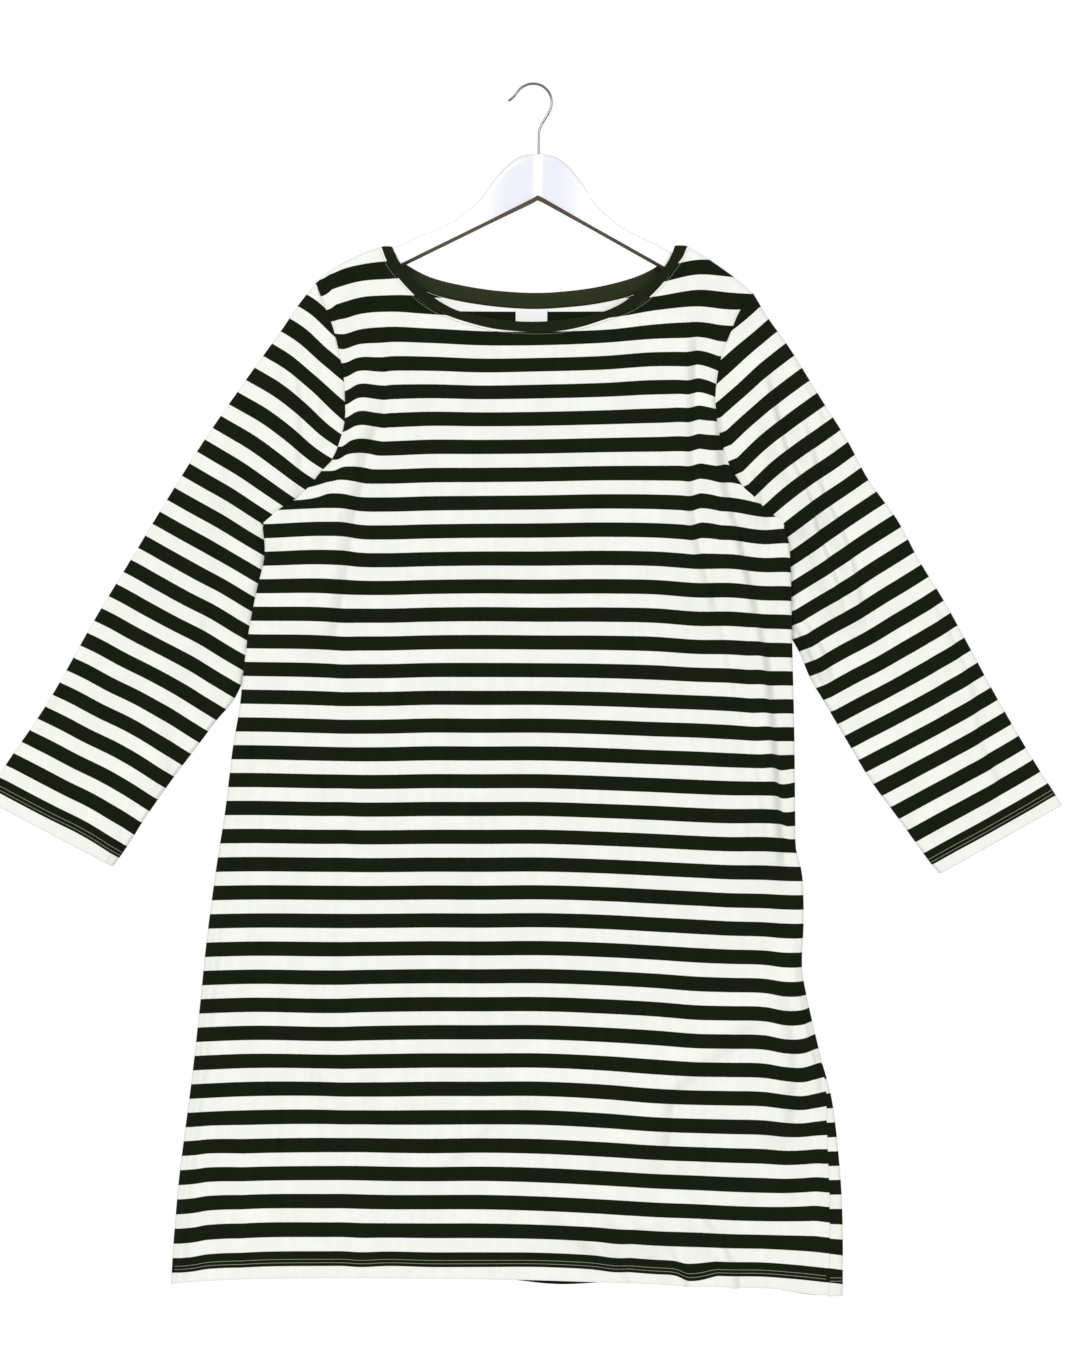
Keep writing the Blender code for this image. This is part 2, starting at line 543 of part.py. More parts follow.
def make_hook(material, collection):
    """The wire hook: a straight stem, a bend outwards, and most of a circle."""
    centre = np.array([0, -HOOK_RADIUS + HOOK_WIRE])
    turns = np.radians(np.linspace(-22, 128, 22))
    circle = centre + HOOK_RADIUS * np.stack([np.cos(turns), np.sin(turns)], axis=1)
    stem_top = np.array([HANGER_AXIS, -47])
    bend = smooth_path([stem_top, (8.5, -37), (14, -30), circle[0]], np.linspace(0, 1, 8))
    foot = np.array([[HANGER_AXIS, HANGER_TOP + SEAM_GAP]])
    tip = smooth_path([circle[-1], (-15.5, -9), (-20, -13.5), (-24, -15)], np.linspace(0, 1, 6))
    route = np.vstack([foot, bend, circle[1:], tip[1:]])
    curve = bpy.data.curves.new("hanger_hook", "CURVE")
    curve.dimensions = "3D"
    curve.bevel_depth = HOOK_WIRE * MM
    curve.bevel_resolution = 2
    curve.use_fill_caps = True
    spline = curve.splines.new("POLY")
    spline.points.add(len(route) - 1)
    for point, (x, z) in zip(spline.points, route):
        point.co = (x * MM, 0, z * MM, 1)
    curve.materials.append(material)
    hook = bpy.data.objects.new("hanger_hook", curve)
    collection.objects.link(hook)


def build():
    for old in list(bpy.data.objects):
        bpy.data.objects.remove(old, do_unlink=True)
    dress = bpy.data.collections.new("t_shirt_dress_on_hanger")
    bpy.context.scene.collection.children.link(dress)
    jersey = make_material("striped_jersey", (0.45, 0.46, 0.41), 0.85)
    band = make_material("band_jersey", (0.016, 0.022, 0.01), 0.85)
    tape = make_material("label_tape", (0.86, 0.86, 0.82), 0.7)
    paint = make_material("white_paint", (0.86, 0.85, 0.9), 0.25)
    steel = make_material("polished_steel", (0.62, 0.62, 0.64), 0.18, 1.0)
    make_panel("front_panel", "front", -1, NECK_FRONT, jersey, dress)
    make_panel("back_panel", "back", 1, NECK_BACK, jersey, dress)
    make_sleeve("sleeve_left", OUTER_LEFT, ARMHOLE_LEFT, UNDER_LEFT, 1, jersey, dress)
    make_sleeve("sleeve_right", OUTER_RIGHT, ARMHOLE_RIGHT, UNDER_RIGHT, -1, jersey, dress)
    make_band(band, dress)
    make_label(tape, dress)
    make_hanger(paint, dress)
    make_hook(steel, dress)


build()
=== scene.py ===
# %% [markdown]
# # A striped t-shirt dress on its hanger
#
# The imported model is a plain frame: eight solids with the right sizes and places. This lesson
# dresses it. Every piece of cloth is made again as a thin, finely divided sheet that lies
# where its solid lies, with folds, turned hems, stitches and yarn-dyed stripes.
#
# Axes: X runs across the front, Y from front to back and Z up. The origin is the inside of
# the hook's crown. Sizes below are in millimetres and become metres when a mesh is made.

# %% Load the frame
import math

import bmesh
import bpy
import numpy as np
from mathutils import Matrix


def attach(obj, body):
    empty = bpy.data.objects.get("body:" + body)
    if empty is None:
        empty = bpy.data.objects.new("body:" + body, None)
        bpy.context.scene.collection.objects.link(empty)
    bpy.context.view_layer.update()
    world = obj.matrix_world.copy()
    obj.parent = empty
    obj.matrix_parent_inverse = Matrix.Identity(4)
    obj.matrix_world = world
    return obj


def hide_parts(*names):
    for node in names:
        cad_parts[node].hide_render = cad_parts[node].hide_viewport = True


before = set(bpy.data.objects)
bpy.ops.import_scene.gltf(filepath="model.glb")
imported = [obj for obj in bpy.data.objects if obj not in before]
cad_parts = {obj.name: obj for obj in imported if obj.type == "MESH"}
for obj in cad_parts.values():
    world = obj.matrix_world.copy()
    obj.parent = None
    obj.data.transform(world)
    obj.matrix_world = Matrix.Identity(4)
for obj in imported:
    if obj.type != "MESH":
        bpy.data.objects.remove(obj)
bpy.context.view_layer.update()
MM = 0.001
print("frame nodes:", sorted(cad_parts))

# %% [markdown]
# ## Camera and light
#
# A dress that hangs flat is seen straight on, from far enough away that its edges aren't
# stretched. One broad soft lamp from the upper left models the folds, a weaker one from the
# right opens the shadows, a third one behind lights the back for anyone who walks round, and
# the surroundings are white for the camera but dimmer as a light, because light from
# everywhere would wash the folds out.

# %% Camera and lamps
EYE_ACROSS = 7.3          # the camera's place, level with the waist
EYE_UP = -572.3
EYE_AWAY = 2200.0
VIEW_HEIGHT = 1309.5      # height of what the camera sees at the seam plane
SENSOR = 36.0
ROOM_LIGHT = 0.485        # strength of the surroundings as a light


def look_at(thing, target):
    """Turn a lamp or camera so that its -Z axis points from its place to the target."""
    away = np.subtract(target, thing.location)
    thing.rotation_mode = "XYZ"
    thing.rotation_euler = (math.acos(-away[2] / np.linalg.norm(away)), 0,
                            math.atan2(-away[0], away[1]))


def area_lamp(name, place, size, power):
    """A square lamp of the given side (m) and power (W) that faces the middle of the dress."""
    lamp = bpy.data.lights.new(name, "AREA")
    lamp.size = size
    lamp.energy = power
    thing = bpy.data.objects.new(name, lamp)
    thing.location = place
    look_at(thing, (0, 0, EYE_UP * MM))
    bpy.context.scene.collection.objects.link(thing)
    return thing


lens = bpy.data.cameras.new("front_view")
lens.sensor_width = SENSOR
lens.lens = SENSOR * EYE_AWAY / VIEW_HEIGHT
eye = bpy.data.objects.new("front_view", lens)
eye.location = np.array([EYE_ACROSS, -EYE_AWAY, EYE_UP]) * MM
look_at(eye, (EYE_ACROSS * MM, 0, EYE_UP * MM))
bpy.context.scene.collection.objects.link(eye)
bpy.context.scene.camera = eye

area_lamp("key_light", (-5.0, -7.6, 4.2), 4.5, 560)
area_lamp("fill_light", (5.0, -7.8, 1.2), 4.8, 290)
area_lamp("back_light", (5.5, 8.0, 2.5), 4.0, 480)

world = bpy.data.worlds.new("white_room")
bpy.context.scene.world = world
world.use_nodes = True
sky = world.node_tree
sky.nodes.clear()
seen = sky.nodes.new("ShaderNodeBackground")
seen.inputs["Color"].default_value = (1, 1, 1, 1)
seen.inputs["Strength"].default_value = 1.0
lighting = sky.nodes.new("ShaderNodeBackground")
lighting.inputs["Color"].default_value = (0.96, 0.98, 1, 1)
lighting.inputs["Strength"].default_value = ROOM_LIGHT
choice = sky.nodes.new("ShaderNodeMixShader")
path = sky.nodes.new("ShaderNodeLightPath")
room = sky.nodes.new("ShaderNodeOutputWorld")
sky.links.new(path.outputs["Is Camera Ray"], choice.inputs["Fac"])
sky.links.new(lighting.outputs["Background"], choice.inputs[1])
sky.links.new(seen.outputs["Background"], choice.inputs[2])
sky.links.new(choice.outputs["Shader"], room.inputs["Surface"])
bpy.context.scene.view_settings.view_transform = "Standard"
print("camera", tuple(round(c, 3) for c in eye.location), "lens", round(lens.lens, 1))

# %% [markdown]
# ## Curves and distances
#
# An outline is a short list of points, and a smooth curve is drawn through them. Two more
# tools do most of the shaping: the distance from any place of the front view to an outline,
# and soft steps that turn such a distance into a rolled edge or a gentle swell. Blender's own
# curves could draw the outlines too, but worked out here they can be read at any place.

# %% Curve tools
CURVE_STEPS = 24          # points of a smooth curve between two rows of its list


def travelled(points):
    """Distance along a polyline up to each of its points."""
    return np.append(0, np.cumsum(np.linalg.norm(np.diff(points, axis=0), axis=1)))


def unit(vectors):
    """Rows of vectors, each divided by its own length."""
    return vectors / np.linalg.norm(vectors, axis=1, keepdims=True)


def smooth_path(rows, shares):
    """Points at the given shares of the length of a smooth curve through the rows.

    Between two rows P1 and P2, with neighbours P0 and P3, the curve is half of
    2 P1 + (P2 - P0) t + (2 P0 - 5 P1 + 4 P2 - P3) t^2 + (3 P1 - P0 - 3 P2 + P3) t^3.
    """
    rows = np.array(rows, float)
    ahead = np.vstack([2 * rows[0] - rows[1], rows, 2 * rows[-1] - rows[-2]])
    p0, p1, p2, p3 = (ahead[k:len(ahead) - 3 + k, None] for k in range(4))
    t = np.linspace(0, 1, CURVE_STEPS, endpoint=False)[None, :, None]
    fine = 0.5 * (2 * p1 + (p2 - p0) * t + (2 * p0 - 5 * p1 + 4 * p2 - p3) * t ** 2
                  + (3 * p1 - p0 - 3 * p2 + p3) * t ** 3)
    fine = np.vstack([fine.reshape(-1, rows.shape[1]), rows[-1:]])
    length = travelled(fine)
    wanted = np.asarray(shares) * length[-1]
    return np.stack([np.interp(wanted, length, column) for column in fine.T], axis=-1)


def edge_distance(path, x, z):
    """Shortest distance from each point (x, z) to the straight pieces of a path."""
    nearest = np.full(np.shape(x), np.inf)
    for (x1, z1), (x2, z2) in zip(path[:-1], path[1:]):
        dx, dz = x2 - x1, z2 - z1
        along = np.clip(((x - x1) * dx + (z - z1) * dz) / (dx * dx + dz * dz), 0, 1)
        nearest = np.minimum(nearest, np.hypot(x - x1 - along * dx, z - z1 - along * dz))
    return nearest


def ease(share):
    """A smooth rise s^2 (3 - 2 s) from 0 to 1."""
    share = np.clip(share, 0, 1)
    return share ** 2 * (3 - 2 * share)


def quarter(share):
    """A quarter circle sqrt(1 - (1 - s)^2): upright at 0 and level at 1."""
    return np.sqrt(1 - (1 - np.clip(share, 0, 1)) ** 2)


def crowded(count, crowding):
    """Shares from 0 to 1, closer together at both ends: t - k sin(2 pi t) / (2 pi)."""
    t = np.linspace(0, 1, count)
    return t - crowding * np.sin(2 * np.pi * t) / (2 * np.pi)


def between(places, values, wanted):
    """Smooth curve through (place, value) pairs, read at the wanted places.

    A cubic with the slopes of the neighbouring values; values may hold one column for
    each wanted place.
    """
    places = np.asarray(places, float)
    flat = np.clip(np.ravel(wanted), places[0], places[-1])
    values = np.asarray(values, float).reshape(len(places), -1)
    values = np.broadcast_to(values, (len(places), flat.size))
    slopes = np.gradient(values, places, axis=0)
    k = np.clip(np.searchsorted(places, flat) - 1, 0, len(places) - 2)
    span = places[k + 1] - places[k]
    t = (flat - places[k]) / span
    n = np.arange(flat.size)
    result = (values[k, n] * (1 + 2 * t) * (1 - t) ** 2 + slopes[k, n] * span * t * (1 - t) ** 2
              + values[k + 1, n] * t ** 2 * (3 - 2 * t) - slopes[k + 1, n] * span * t ** 2 * (1 - t))
    return result.reshape(np.shape(wanted))


def read_table(columns, rows, table, across, down):
    """A short table read at any place: first between its columns, then between its rows."""
    by_row = np.stack([between(columns, row, across).ravel() for row in table])
    return between(rows, by_row, down)


print("soft step at 0, 1/4, 1/2, 3/4 and 1:", ease(np.linspace(0, 1, 5)).round(2))
print("quarter circle at the same places:", quarter(np.linspace(0, 1, 5)).round(2))

# %% [markdown]
# ## The cutting plan
#
# These are the outlines of the dress as it hangs, seen from the front: (across, up) from the
# hook's crown, each from the top down or from left to right. "Left" is the left of the front
# view. They follow the outlines of the frame's solids to within a few millimetres, so each
# piece of cloth lies on its solid.

# %% Outlines
CLOTH = 0.9               # thickness of the jersey
SEAM_GAP = 0.1            # clearance between neighbouring sheets at a seam
SHOULDER_ROLL = 9.0       # radius with which the cloth rolls over the hanger's arm
SIDE_ROLL = 4.0           # radius of the pressed edge at side seams and sleeve edges
BODY_SWELL = 11.0         # how much further the middle of each panel stands out
SLEEVE_SWELL = 5.0        # the same at a sleeve's cuff
SWELL_REACH = 90.0        # distance from an edge over which the swell builds up
SHOULDER_REACH = 60.0     # distance from the shoulder over which its wider roll is lost
TUCK_DEPTH = 7.3          # how far a sleeve's under edge lies behind the body's side
FACING = {"front": -1, "back": 1}  # which way along Y each layer of cloth looks

OUTER_LEFT = [            # neck, shoulder, outer edge of the sleeve, cuff
    (-131, -153.5), (-146.5, -157), (-160, -161.5), (-177, -169), (-194, -178.5), (-210, -192),
    (-226, -212), (-245, -240), (-278, -286), (-318, -344), (-355, -403), (-390, -461),
    (-425, -519), (-469, -597), (-508, -655), (-531, -691)]
OUTER_RIGHT = [
    (138, -153.5), (150, -156.5), (165, -165), (182, -176.5), (199, -189), (214, -202),
    (230, -228), (250, -256), (281, -306), (305, -344), (326, -383), (354, -422),
    (375, -461), (399, -500), (420, -538), (452, -597), (486, -655), (513, -697)]
SHOULDER_ROWS = (1, 5)    # the rows of an outer edge that begin and end the shoulder seam
ARMHOLE_LEFT = [
    (-210, -192), (-200, -218), (-193.5, -234), (-187, -259), (-182, -288), (-181, -310),
    (-180.8, -324), (-183, -337), (-187, -350), (-190.5, -360), (-195.5, -368), (-202.5, -374),
    (-216, -390), (-229.5, -402), (-244, -411), (-262, -426)]
ARMHOLE_RIGHT = [
    (214, -202), (206, -212), (198.5, -224), (192, -240), (183, -263), (178, -288),
    (176.5, -312), (180, -338), (184.7, -355), (191, -371), (198, -382), (204, -391),
    (213.4, -399.5), (223, -409), (233, -417), (241, -423), (245, -430)]
SIDE_LEFT = [
    (-262, -426), (-260, -456), (-268, -492), (-275, -528), (-280, -565), (-284, -603),
    (-291, -645), (-298, -703), (-307, -761), (-316, -829), (-323, -897), (-330, -960),
    (-337, -1014), (-343, -1062), (-348, -1120), (-350.5, -1162)]
SIDE_RIGHT = [
    (245, -430), (250, -456), (252, -540), (254, -626), (255, -713), (255.5, -740),
    (260, -757), (262.5, -776), (263, -815), (261.5, -856), (267, -888), (274, -919),
    (281, -948), (289, -977), (294, -1009), (299, -1062), (301, -1111), (301, -1172.5)]
HEM = [
    (-350.5, -1162), (-326, -1160), (-280, -1158), (-187, -1157), (-94, -1158), (-24, -1159),
    (46, -1161), (104, -1162.5), (162, -1165.5), (232, -1166.5), (256, -1169), (279, -1172),
    (301, -1172.5)]
UNDER_LEFT = [            # underarm edge of the sleeve, armpit to cuff, behind the body at first
    (-262, -426), (-258, -436), (-254, -447), (-252, -464), (-255, -488), (-263, -518),
    (-270, -546), (-279, -572), (-291, -597), (-307, -616), (-321, -635), (-350, -674),
    (-377, -713), (-390, -734), (-406, -757)]
UNDER_RIGHT = [
    (245, -430), (242, -438), (240, -448), (239, -466), (240, -490), (244, -514),
    (250, -533), (259, -549), (271, -577), (283, -597), (305, -635), (328, -674),
    (356, -713), (384, -752), (394, -764)]
NECK_FRONT = [            # seam between the front panel and the neckband
    (-146.5, -157), (-139.8, -174), (-128, -190.5), (-111, -208.4), (-98, -218), (-80, -226.2),
    (-60, -232.8), (-38, -238.2), (-15, -240.8), (6, -241.5), (26, -240.6), (47, -236.5),
    (67, -230.2), (87, -223), (100, -216.8), (114, -206.5), (128, -191.5), (138, -178),
    (145.5, -168), (150, -156.5)]
NECK_FRONT_FREE = [       # free edge of the neckband in front
    (-135.5, -157), (-132.5, -165), (-127, -175), (-112, -192.2), (-97, -206), (-84, -214.6),
    (-70, -221), (-41, -228), (0, -231.3), (41, -228), (66, -222.2), (83, -215), (96, -206.2),
    (114, -193), (128, -177), (135.5, -163), (137.5, -156)]
NECK_BACK = [             # seam between the back panel and the neckband
    (-146.5, -157), (-136.5, -175), (-119, -190), (-97, -201.5), (-72, -208), (-43, -212.5),
    (-15, -215), (6, -215.5), (26, -214.5), (57, -211.5), (87, -205.5), (108, -198),
    (124, -187.5), (141, -172), (150, -156.5)]
NECK_BACK_FREE = [        # free edge of the neckband behind
    (-135.5, -157), (-128, -168), (-115, -177), (-97, -185.3), (-72, -191.5), (-43, -196.3),
    (-15, -198.7), (6, -199.2), (26, -198.3), (57, -194.8), (87, -188.2), (108, -181),
    (124, -172), (134, -164), (137.5, -156)]
FINE = np.linspace(0, 1, 160)
TOP_EDGES = [smooth_path(OUTER_LEFT, FINE), smooth_path(OUTER_RIGHT, FINE)]
BODY_SIDES = [smooth_path(SIDE_LEFT, FINE), smooth_path(SIDE_RIGHT, FINE)]
ARMHOLES = [smooth_path(ARMHOLE_LEFT, FINE), smooth_path(ARMHOLE_RIGHT, FINE)]
SHOULDERS = [rows[:SHOULDER_ROWS[1] + 1] for rows in (OUTER_LEFT, OUTER_RIGHT)]
print("dress from", min(r[0] for r in OUTER_LEFT), "to", max(r[0] for r in OUTER_RIGHT), "mm")

# %% [markdown]
# ## How deep the cloth stands
#
# Hung flat, a dress is a flattened tube. Its cloth rolls round the seams and swells a little
# between them. On top of that come the folds. The large ones lie about where the solids have
# them; the small ones are new and come from how the cloth is pulled: straight down from the
# shoulders, towards the armpits, and in slack flutes above the hem. A cloth simulation would
# make folds as well, but where it likes, and these belong to this one dress.
#
# A fold is a ridge (height above 0) or trough (below 0) along a smooth line. On its left it
# swells up gently; on its right it drops towards a crease, where the cloth turns sharply.
# Each side has its own width, so that one flank can be steep and the other long.

# %% Folds
# layer, line of (x, z) from the top down, left width, right width, height
FOLDS = [
    ("front", ((-150, -285), (-162, -326), (-173, -352), (-181, -396), (-189, -432),
               (-193, -466), (-199, -502), (-205, -535), (-209, -565)), 20, 16, 7.6),
    ("front", ((148, -215), (146, -272), (144, -330), (144, -400), (148, -440), (157, -475),
               (168, -511), (182, -545)), 18, 12, 8.0),
    ("front", ((167, -270), (172, -325), (177, -383), (192, -441), (206, -500), (219, -558),
               (225, -616), (229, -674), (232, -732), (234, -780)), 24, 10, 9.6),
    ("front", ((168, -500), (182, -560), (196, -615), (205, -640), (214, -700), (222, -760)),
     16, 9, 5.0),
    ("front", ((233, -850), (234, -882), (238, -917), (242, -952), (238, -990), (240, -1040)),
     18, 15, 7.6),
    ("front", ((252, -810), (259, -860), (265, -905), (271, -950), (274, -1000)), 12, 9, 5.0),
    ("front", ((246, -850), (236, -873), (205, -908), (170, -939), (144, -960), (130, -975),
               (120, -1022), (112, -1060)), 30, 13, 5.2),
    ("front", ((36, -920), (48, -990), (62, -1050), (84, -1150)), 46, 90, 8.0),
    ("front", ((20, -1050), (33, -1093), (50, -1110), (64, -1124), (76, -1140), (90, -1230)),
     16, 11, 5.4),
    ("front", ((66, -1050), (78, -1084), (95, -1102), (118, -1116), (132, -1137),
               (146, -1230)), 18, 11, 5.2),
    ("front", ((142, -1050), (153, -1084), (171, -1111), (183, -1130), (188, -1230)),
     16, 9, 6.4),
    ("back", ((-172, -238), (-176, -350), (-190, -520)), 18, 20, 3.2),
    ("back", ((178, -240), (176, -360), (186, -560)), 12, 28, 3.4),
    ("back", ((-40, -300), (-58, -520), (-66, -760)), 46, 54, 2.8),
    ("back", ((72, -420), (92, -700), (110, -1000)), 36, 70, -2.8),
    ("back", ((-190, -820), (-206, -1010), (-216, -1190)), 26, 56, 4.0),
    ("back", ((-20, -930), (-12, -1070), (-8, -1190)), 34, 46, -3.4),
    ("back", ((170, -900), (190, -1050), (200, -1190)), 32, 44, 4.2),
]
SMALL_FOLDS = [
    ("front", ((-182, -270), (-178, -320), (-184, -372)), 5, 7, -1.2),
    ("front", ((-276, -530), (-280, -640), (-312, -800)), 14, 14, 2.4),
    ("front", ((-304, -770), (-309, -829), (-316, -897), (-323, -960), (-330, -1014),
               (-336, -1062), (-341, -1120), (-346, -1200)), 6, 10, 4.0),
    ("front", ((-112, -550), (-126, -650), (-152, -760)), 16, 14, 1.4),
    ("front", ((-84, -690), (-74, -749), (-72, -793), (-66, -837), (-62, -873), (-52, -908),
               (-40, -960)), 18, 13, 3.0),
    ("front", ((-42, -590), (-6, -665), (42, -755)), 16, 13, 2.0),
    ("front", ((56, -445), (136, -580), (196, -710)), 18, 14, 2.4),
    ("front", ((-222, -880), (-209, -925), (-201, -952), (-170, -987), (-152, -1014),
               (-143, -1031), (-132, -1080)), 16, 11, 3.6),
    ("front", ((-24, -960), (-36, -987), (-62, -1022), (-92, -1048), (-104, -1090)),
     14, 11, 2.8),
    ("front", ((-30, -1040), (-28, -1110), (-26, -1240)), 14, 12, 2.0),
    ("front", ((-150, -1040), (-146, -1110), (-142, -1240)), 18, 16, 1.8),
    ("front", ((-262, -1050), (-256, -1110), (-258, -1240)), 14, 14, 1.8),
    ("front", ((-60, -640), (-62, -720), (-70, -800)), 14, 12, 1.4),
    ("front", ((-136, -560), (-140, -640), (-140, -720)), 12, 12, 1.6),
    ("front", ((-204, -368), (-194, -396), (-190, -440)), 6, 8, 1.8),
    ("front", ((-226, -392), (-212, -430), (-218, -500)), 8, 10, -1.3),
    ("front", ((-244, -420), (-238, -460), (-246, -520)), 8, 9, 1.1),
    ("front", ((206, -378), (200, -404), (198, -452)), 6, 9, 1.8),
    ("front", ((236, -440), (230, -500), (236, -570)), 8, 8, 1.2),
    ("back", ((-206, -360), (-200, -420), (-206, -500)), 8, 13, 1.5),
    ("back", ((206, -360), (202, -420), (208, -500)), 8, 13, 1.5),
    ("back", ((0, -240), (-4, -330), (-10, -430)), 24, 32, -1.0),
    ("back", ((-120, -620), (-130, -760), (-138, -900)), 22, 40, 1.2),
    ("back", ((222, -620), (228, -740), (236, -860)), 14, 26, -1.3),
    ("back", ((90, -1040), (96, -1110), (98, -1190)), 16, 28, 1.4),
    ("back", ((-110, -1030), (-112, -1110), (-116, -1190)), 18, 22, -1.4),
    ("back", ((-290, -1020), (-300, -1100), (-306, -1190)), 14, 26, 1.3),
]
SLEEVE_FOLDS = [
    ("front", ((-240, -235), (-231, -300), (-231, -352), (-234, -420)), 12, 9, 5.0),
    ("front", ((-216, -240), (-210, -300), (-208, -350), (-212, -400)), 9, 8, 2.8),
    ("front", ((-262, -400), (-272, -450), (-284, -520)), 12, 13, 2.2),
    ("front", ((-316, -440), (-330, -520), (-352, -610)), 16, 15, 2.0),
    ("front", ((-372, -570), (-363, -640), (-366, -705)), 16, 14, 3.4),
    ("front", ((-412, -680), (-409, -725), (-408, -775)), 12, 12, 2.6),
    ("front", ((-300, -320), (-306, -380), (-322, -450)), 12, 12, 1.0),
    ("front", ((214, -250), (226, -300), (241, -355), (262, -398), (272, -433), (283, -462),
               (291, -486), (297, -510), (308, -540)), 15, 8, 9.4),
    ("front", ((250, -290), (266, -355), (277, -397), (295, -432), (305, -462), (311, -486),
               (314, -515), (316, -545)), 11, 8, 6.8),
    ("front", ((250, -250), (274, -320), (304, -390)), 10, 9, 3.0),
    ("front", ((362, -470), (390, -520), (420, -590), (428, -640), (442, -672), (438, -712)),
     14, 10, 4.4),
    ("front", ((330, -420), (352, -480), (380, -560), (398, -620)), 14, 12, 2.4),
    ("front", ((206, -362), (213, -396), (224, -436)), 8, 8, 4.6),
    ("front", ((245, -505), (258, -520), (271, -539), (280, -560), (286, -590)), 12, 9, 7.0),
    ("front", ((330, -560), (344, -620), (372, -700)), 14, 14, 1.5),
    ("back", ((-240, -330), (-272, -430), (-300, -540)), 16, 22, 1.8),
    ("back", ((-300, -520), (-346, -600), (-380, -690)), 14, 26, -1.4),
    ("back", ((236, -330), (264, -430), (300, -540)), 14, 26, 1.8),
    ("back", ((310, -520), (346, -600), (388, -690)), 16, 22, -1.4),
]
FADE_IN = 60.0            # length over which a fold rises out of the cloth at its top
FADE_OUT = 45.0           # length over which it is lost again below
CREASE_POWER = 1.3        # how sharply its right flank ends
SEAM_DIPS = ((0.9, 1.5), (0.5, 5.0))  # depth and reach of the two dips beside an armhole seam
HELD_FLAT = 9.0           # distance from an edge within which folds are held flat


def fold_relief(rows, layer, x, z):
    """Sum of a layer's folds, each height * fade * flank about its line.

    With d the distance across from the line, the left flank is exp(-(d / width)^2) and the
    right one (1 - (d / width)^2)^1.3, which is steepest where it ends in its crease. A fold
    fades in over the first 60 mm and out over the last 45, or over a third of a short one.
    """
    total = np.zeros(np.shape(x))
    for name, line, left_width, right_width, height in rows:
        if name != layer:
            continue
        line = np.array(line[::-1], float)
        low, high = line[0, 1], line[-1, 1]
        away = x - between(line[:, 1], line[:, 0], z)
        flank = np.where(away < 0, np.exp(-(away / left_width) ** 2),
                         (1 - np.clip(away / right_width, 0, 1) ** 2) ** CREASE_POWER)
        fade = (ease((high - z) / min(FADE_IN, (high - low) / 3))
                * ease((z - low) / min(FADE_OUT, (high - low) / 3)))
        total += height * fade * flank
    return total


def slack(layer, x, z):
    """Faint unevenness of hanging jersey: three crossing waves, less than 0.4 mm high."""
    turn = 0.0 if layer == "front" else 1.9
    return (0.20 * np.sin(x / 31 + z / 140 + turn) * np.sin(z / 83 - x / 190 + turn)
            + 0.12 * np.sin(x / 17 - z / 96 + 2 * turn) * np.cos(z / 61 + turn)
            + 0.06 * np.sin(x / 9 + z / 37 - turn))


def flattened_depth(x, z, top, side, swell_height):
    """Depth of a flattened tube, from the distances to its top edge and to its side edge.

    It is r quarter(top / r) quarter(side / 4) + swell. The radius r falls from 9 mm at the
    shoulders to 4 mm by exp(-distance / 60), and the swell is its height times
    1 - exp(-distance / 90) for both distances.
    """
    shoulder = np.minimum(*(edge_distance(path, x, z) for path in SHOULDERS))
    radius = SIDE_ROLL + (SHOULDER_ROLL - SIDE_ROLL) * np.exp(-shoulder / SHOULDER_REACH)
    swell = [1 - np.exp(-d / SWELL_REACH) for d in (top, side)]
    return (radius * quarter(top / radius) * quarter(side / SIDE_ROLL)
            + swell_height * swell[0] * swell[1])


def seam_dip(x, z):
    """How far the cloth sinks beside an armhole seam: sum of depth exp(-(distance / reach)^2)."""
    away = np.minimum(*(edge_distance(path, x, z) for path in ARMHOLES))
    return sum(depth * np.exp(-(away / reach) ** 2) for depth, reach in SEAM_DIPS)


def all_folds(layer, x, z, edge):
    """Every fold of a layer times (distance from the edge / 9)^2, which is 1 from 9 mm on."""
    hold = np.clip(edge / HELD_FLAT, 0, 1) ** 2
    relief = (fold_relief(FOLDS, layer, x, z) + fold_relief(SMALL_FOLDS, layer, x, z)
              + fold_relief(SLEEVE_FOLDS, layer, x, z) + slack(layer, x, z))
    return hold * (relief - seam_dip(x, z))


def body_depth(layer, x, z):
    """Depth of a body panel's outer skin at points of the front view: flat tube + folds."""
    top = np.minimum(*(edge_distance(path, x, z) for path in TOP_EDGES))
    side = np.minimum(*(edge_distance(path, x, z) for path in BODY_SIDES))
    return (flattened_depth(x, z, top, side, BODY_SWELL)
            + all_folds(layer, x, z, np.minimum(top, side)))


print("folds:", len(FOLDS), "large,", len(SMALL_FOLDS) + len(SLEEVE_FOLDS), "small")

# %% [markdown]
# ## Stripes that belong to the cloth
#
# The stripes are dyed into the yarn, so they must move with the cloth: where the jersey sags
# or is dragged by a fold, its stripes sag with it. Each sheet therefore gets a UV map in real
# lengths, named "cloth". Its first value is the distance across, its second the distance
# up the cloth, counted so that every whole repeat is the middle of a dark stripe.
#
# Two short tables say how far the stripes hang below (above 0) a level line, and a few drags
# say what single folds add to that in front. A picture of stripes laid over the dress would
# be quicker, but it would stay level where the cloth sags.

# %% Stripe rule of the body
REPEAT = 27.21            # one dark and one light stripe
DARK_SHARE = 0.515        # how much of the repeat is dark
HEM_STRIPE_UP = -1141.6   # middle of the lowest dark stripe
SEAM_MISMATCH = 1.8       # how much lower the back's stripes meet the side seams
SEAM_LEAD = 28.0          # distance from a side seam over which they are led there
ARMPIT_UP = -440.0        # the side seams lie below this height

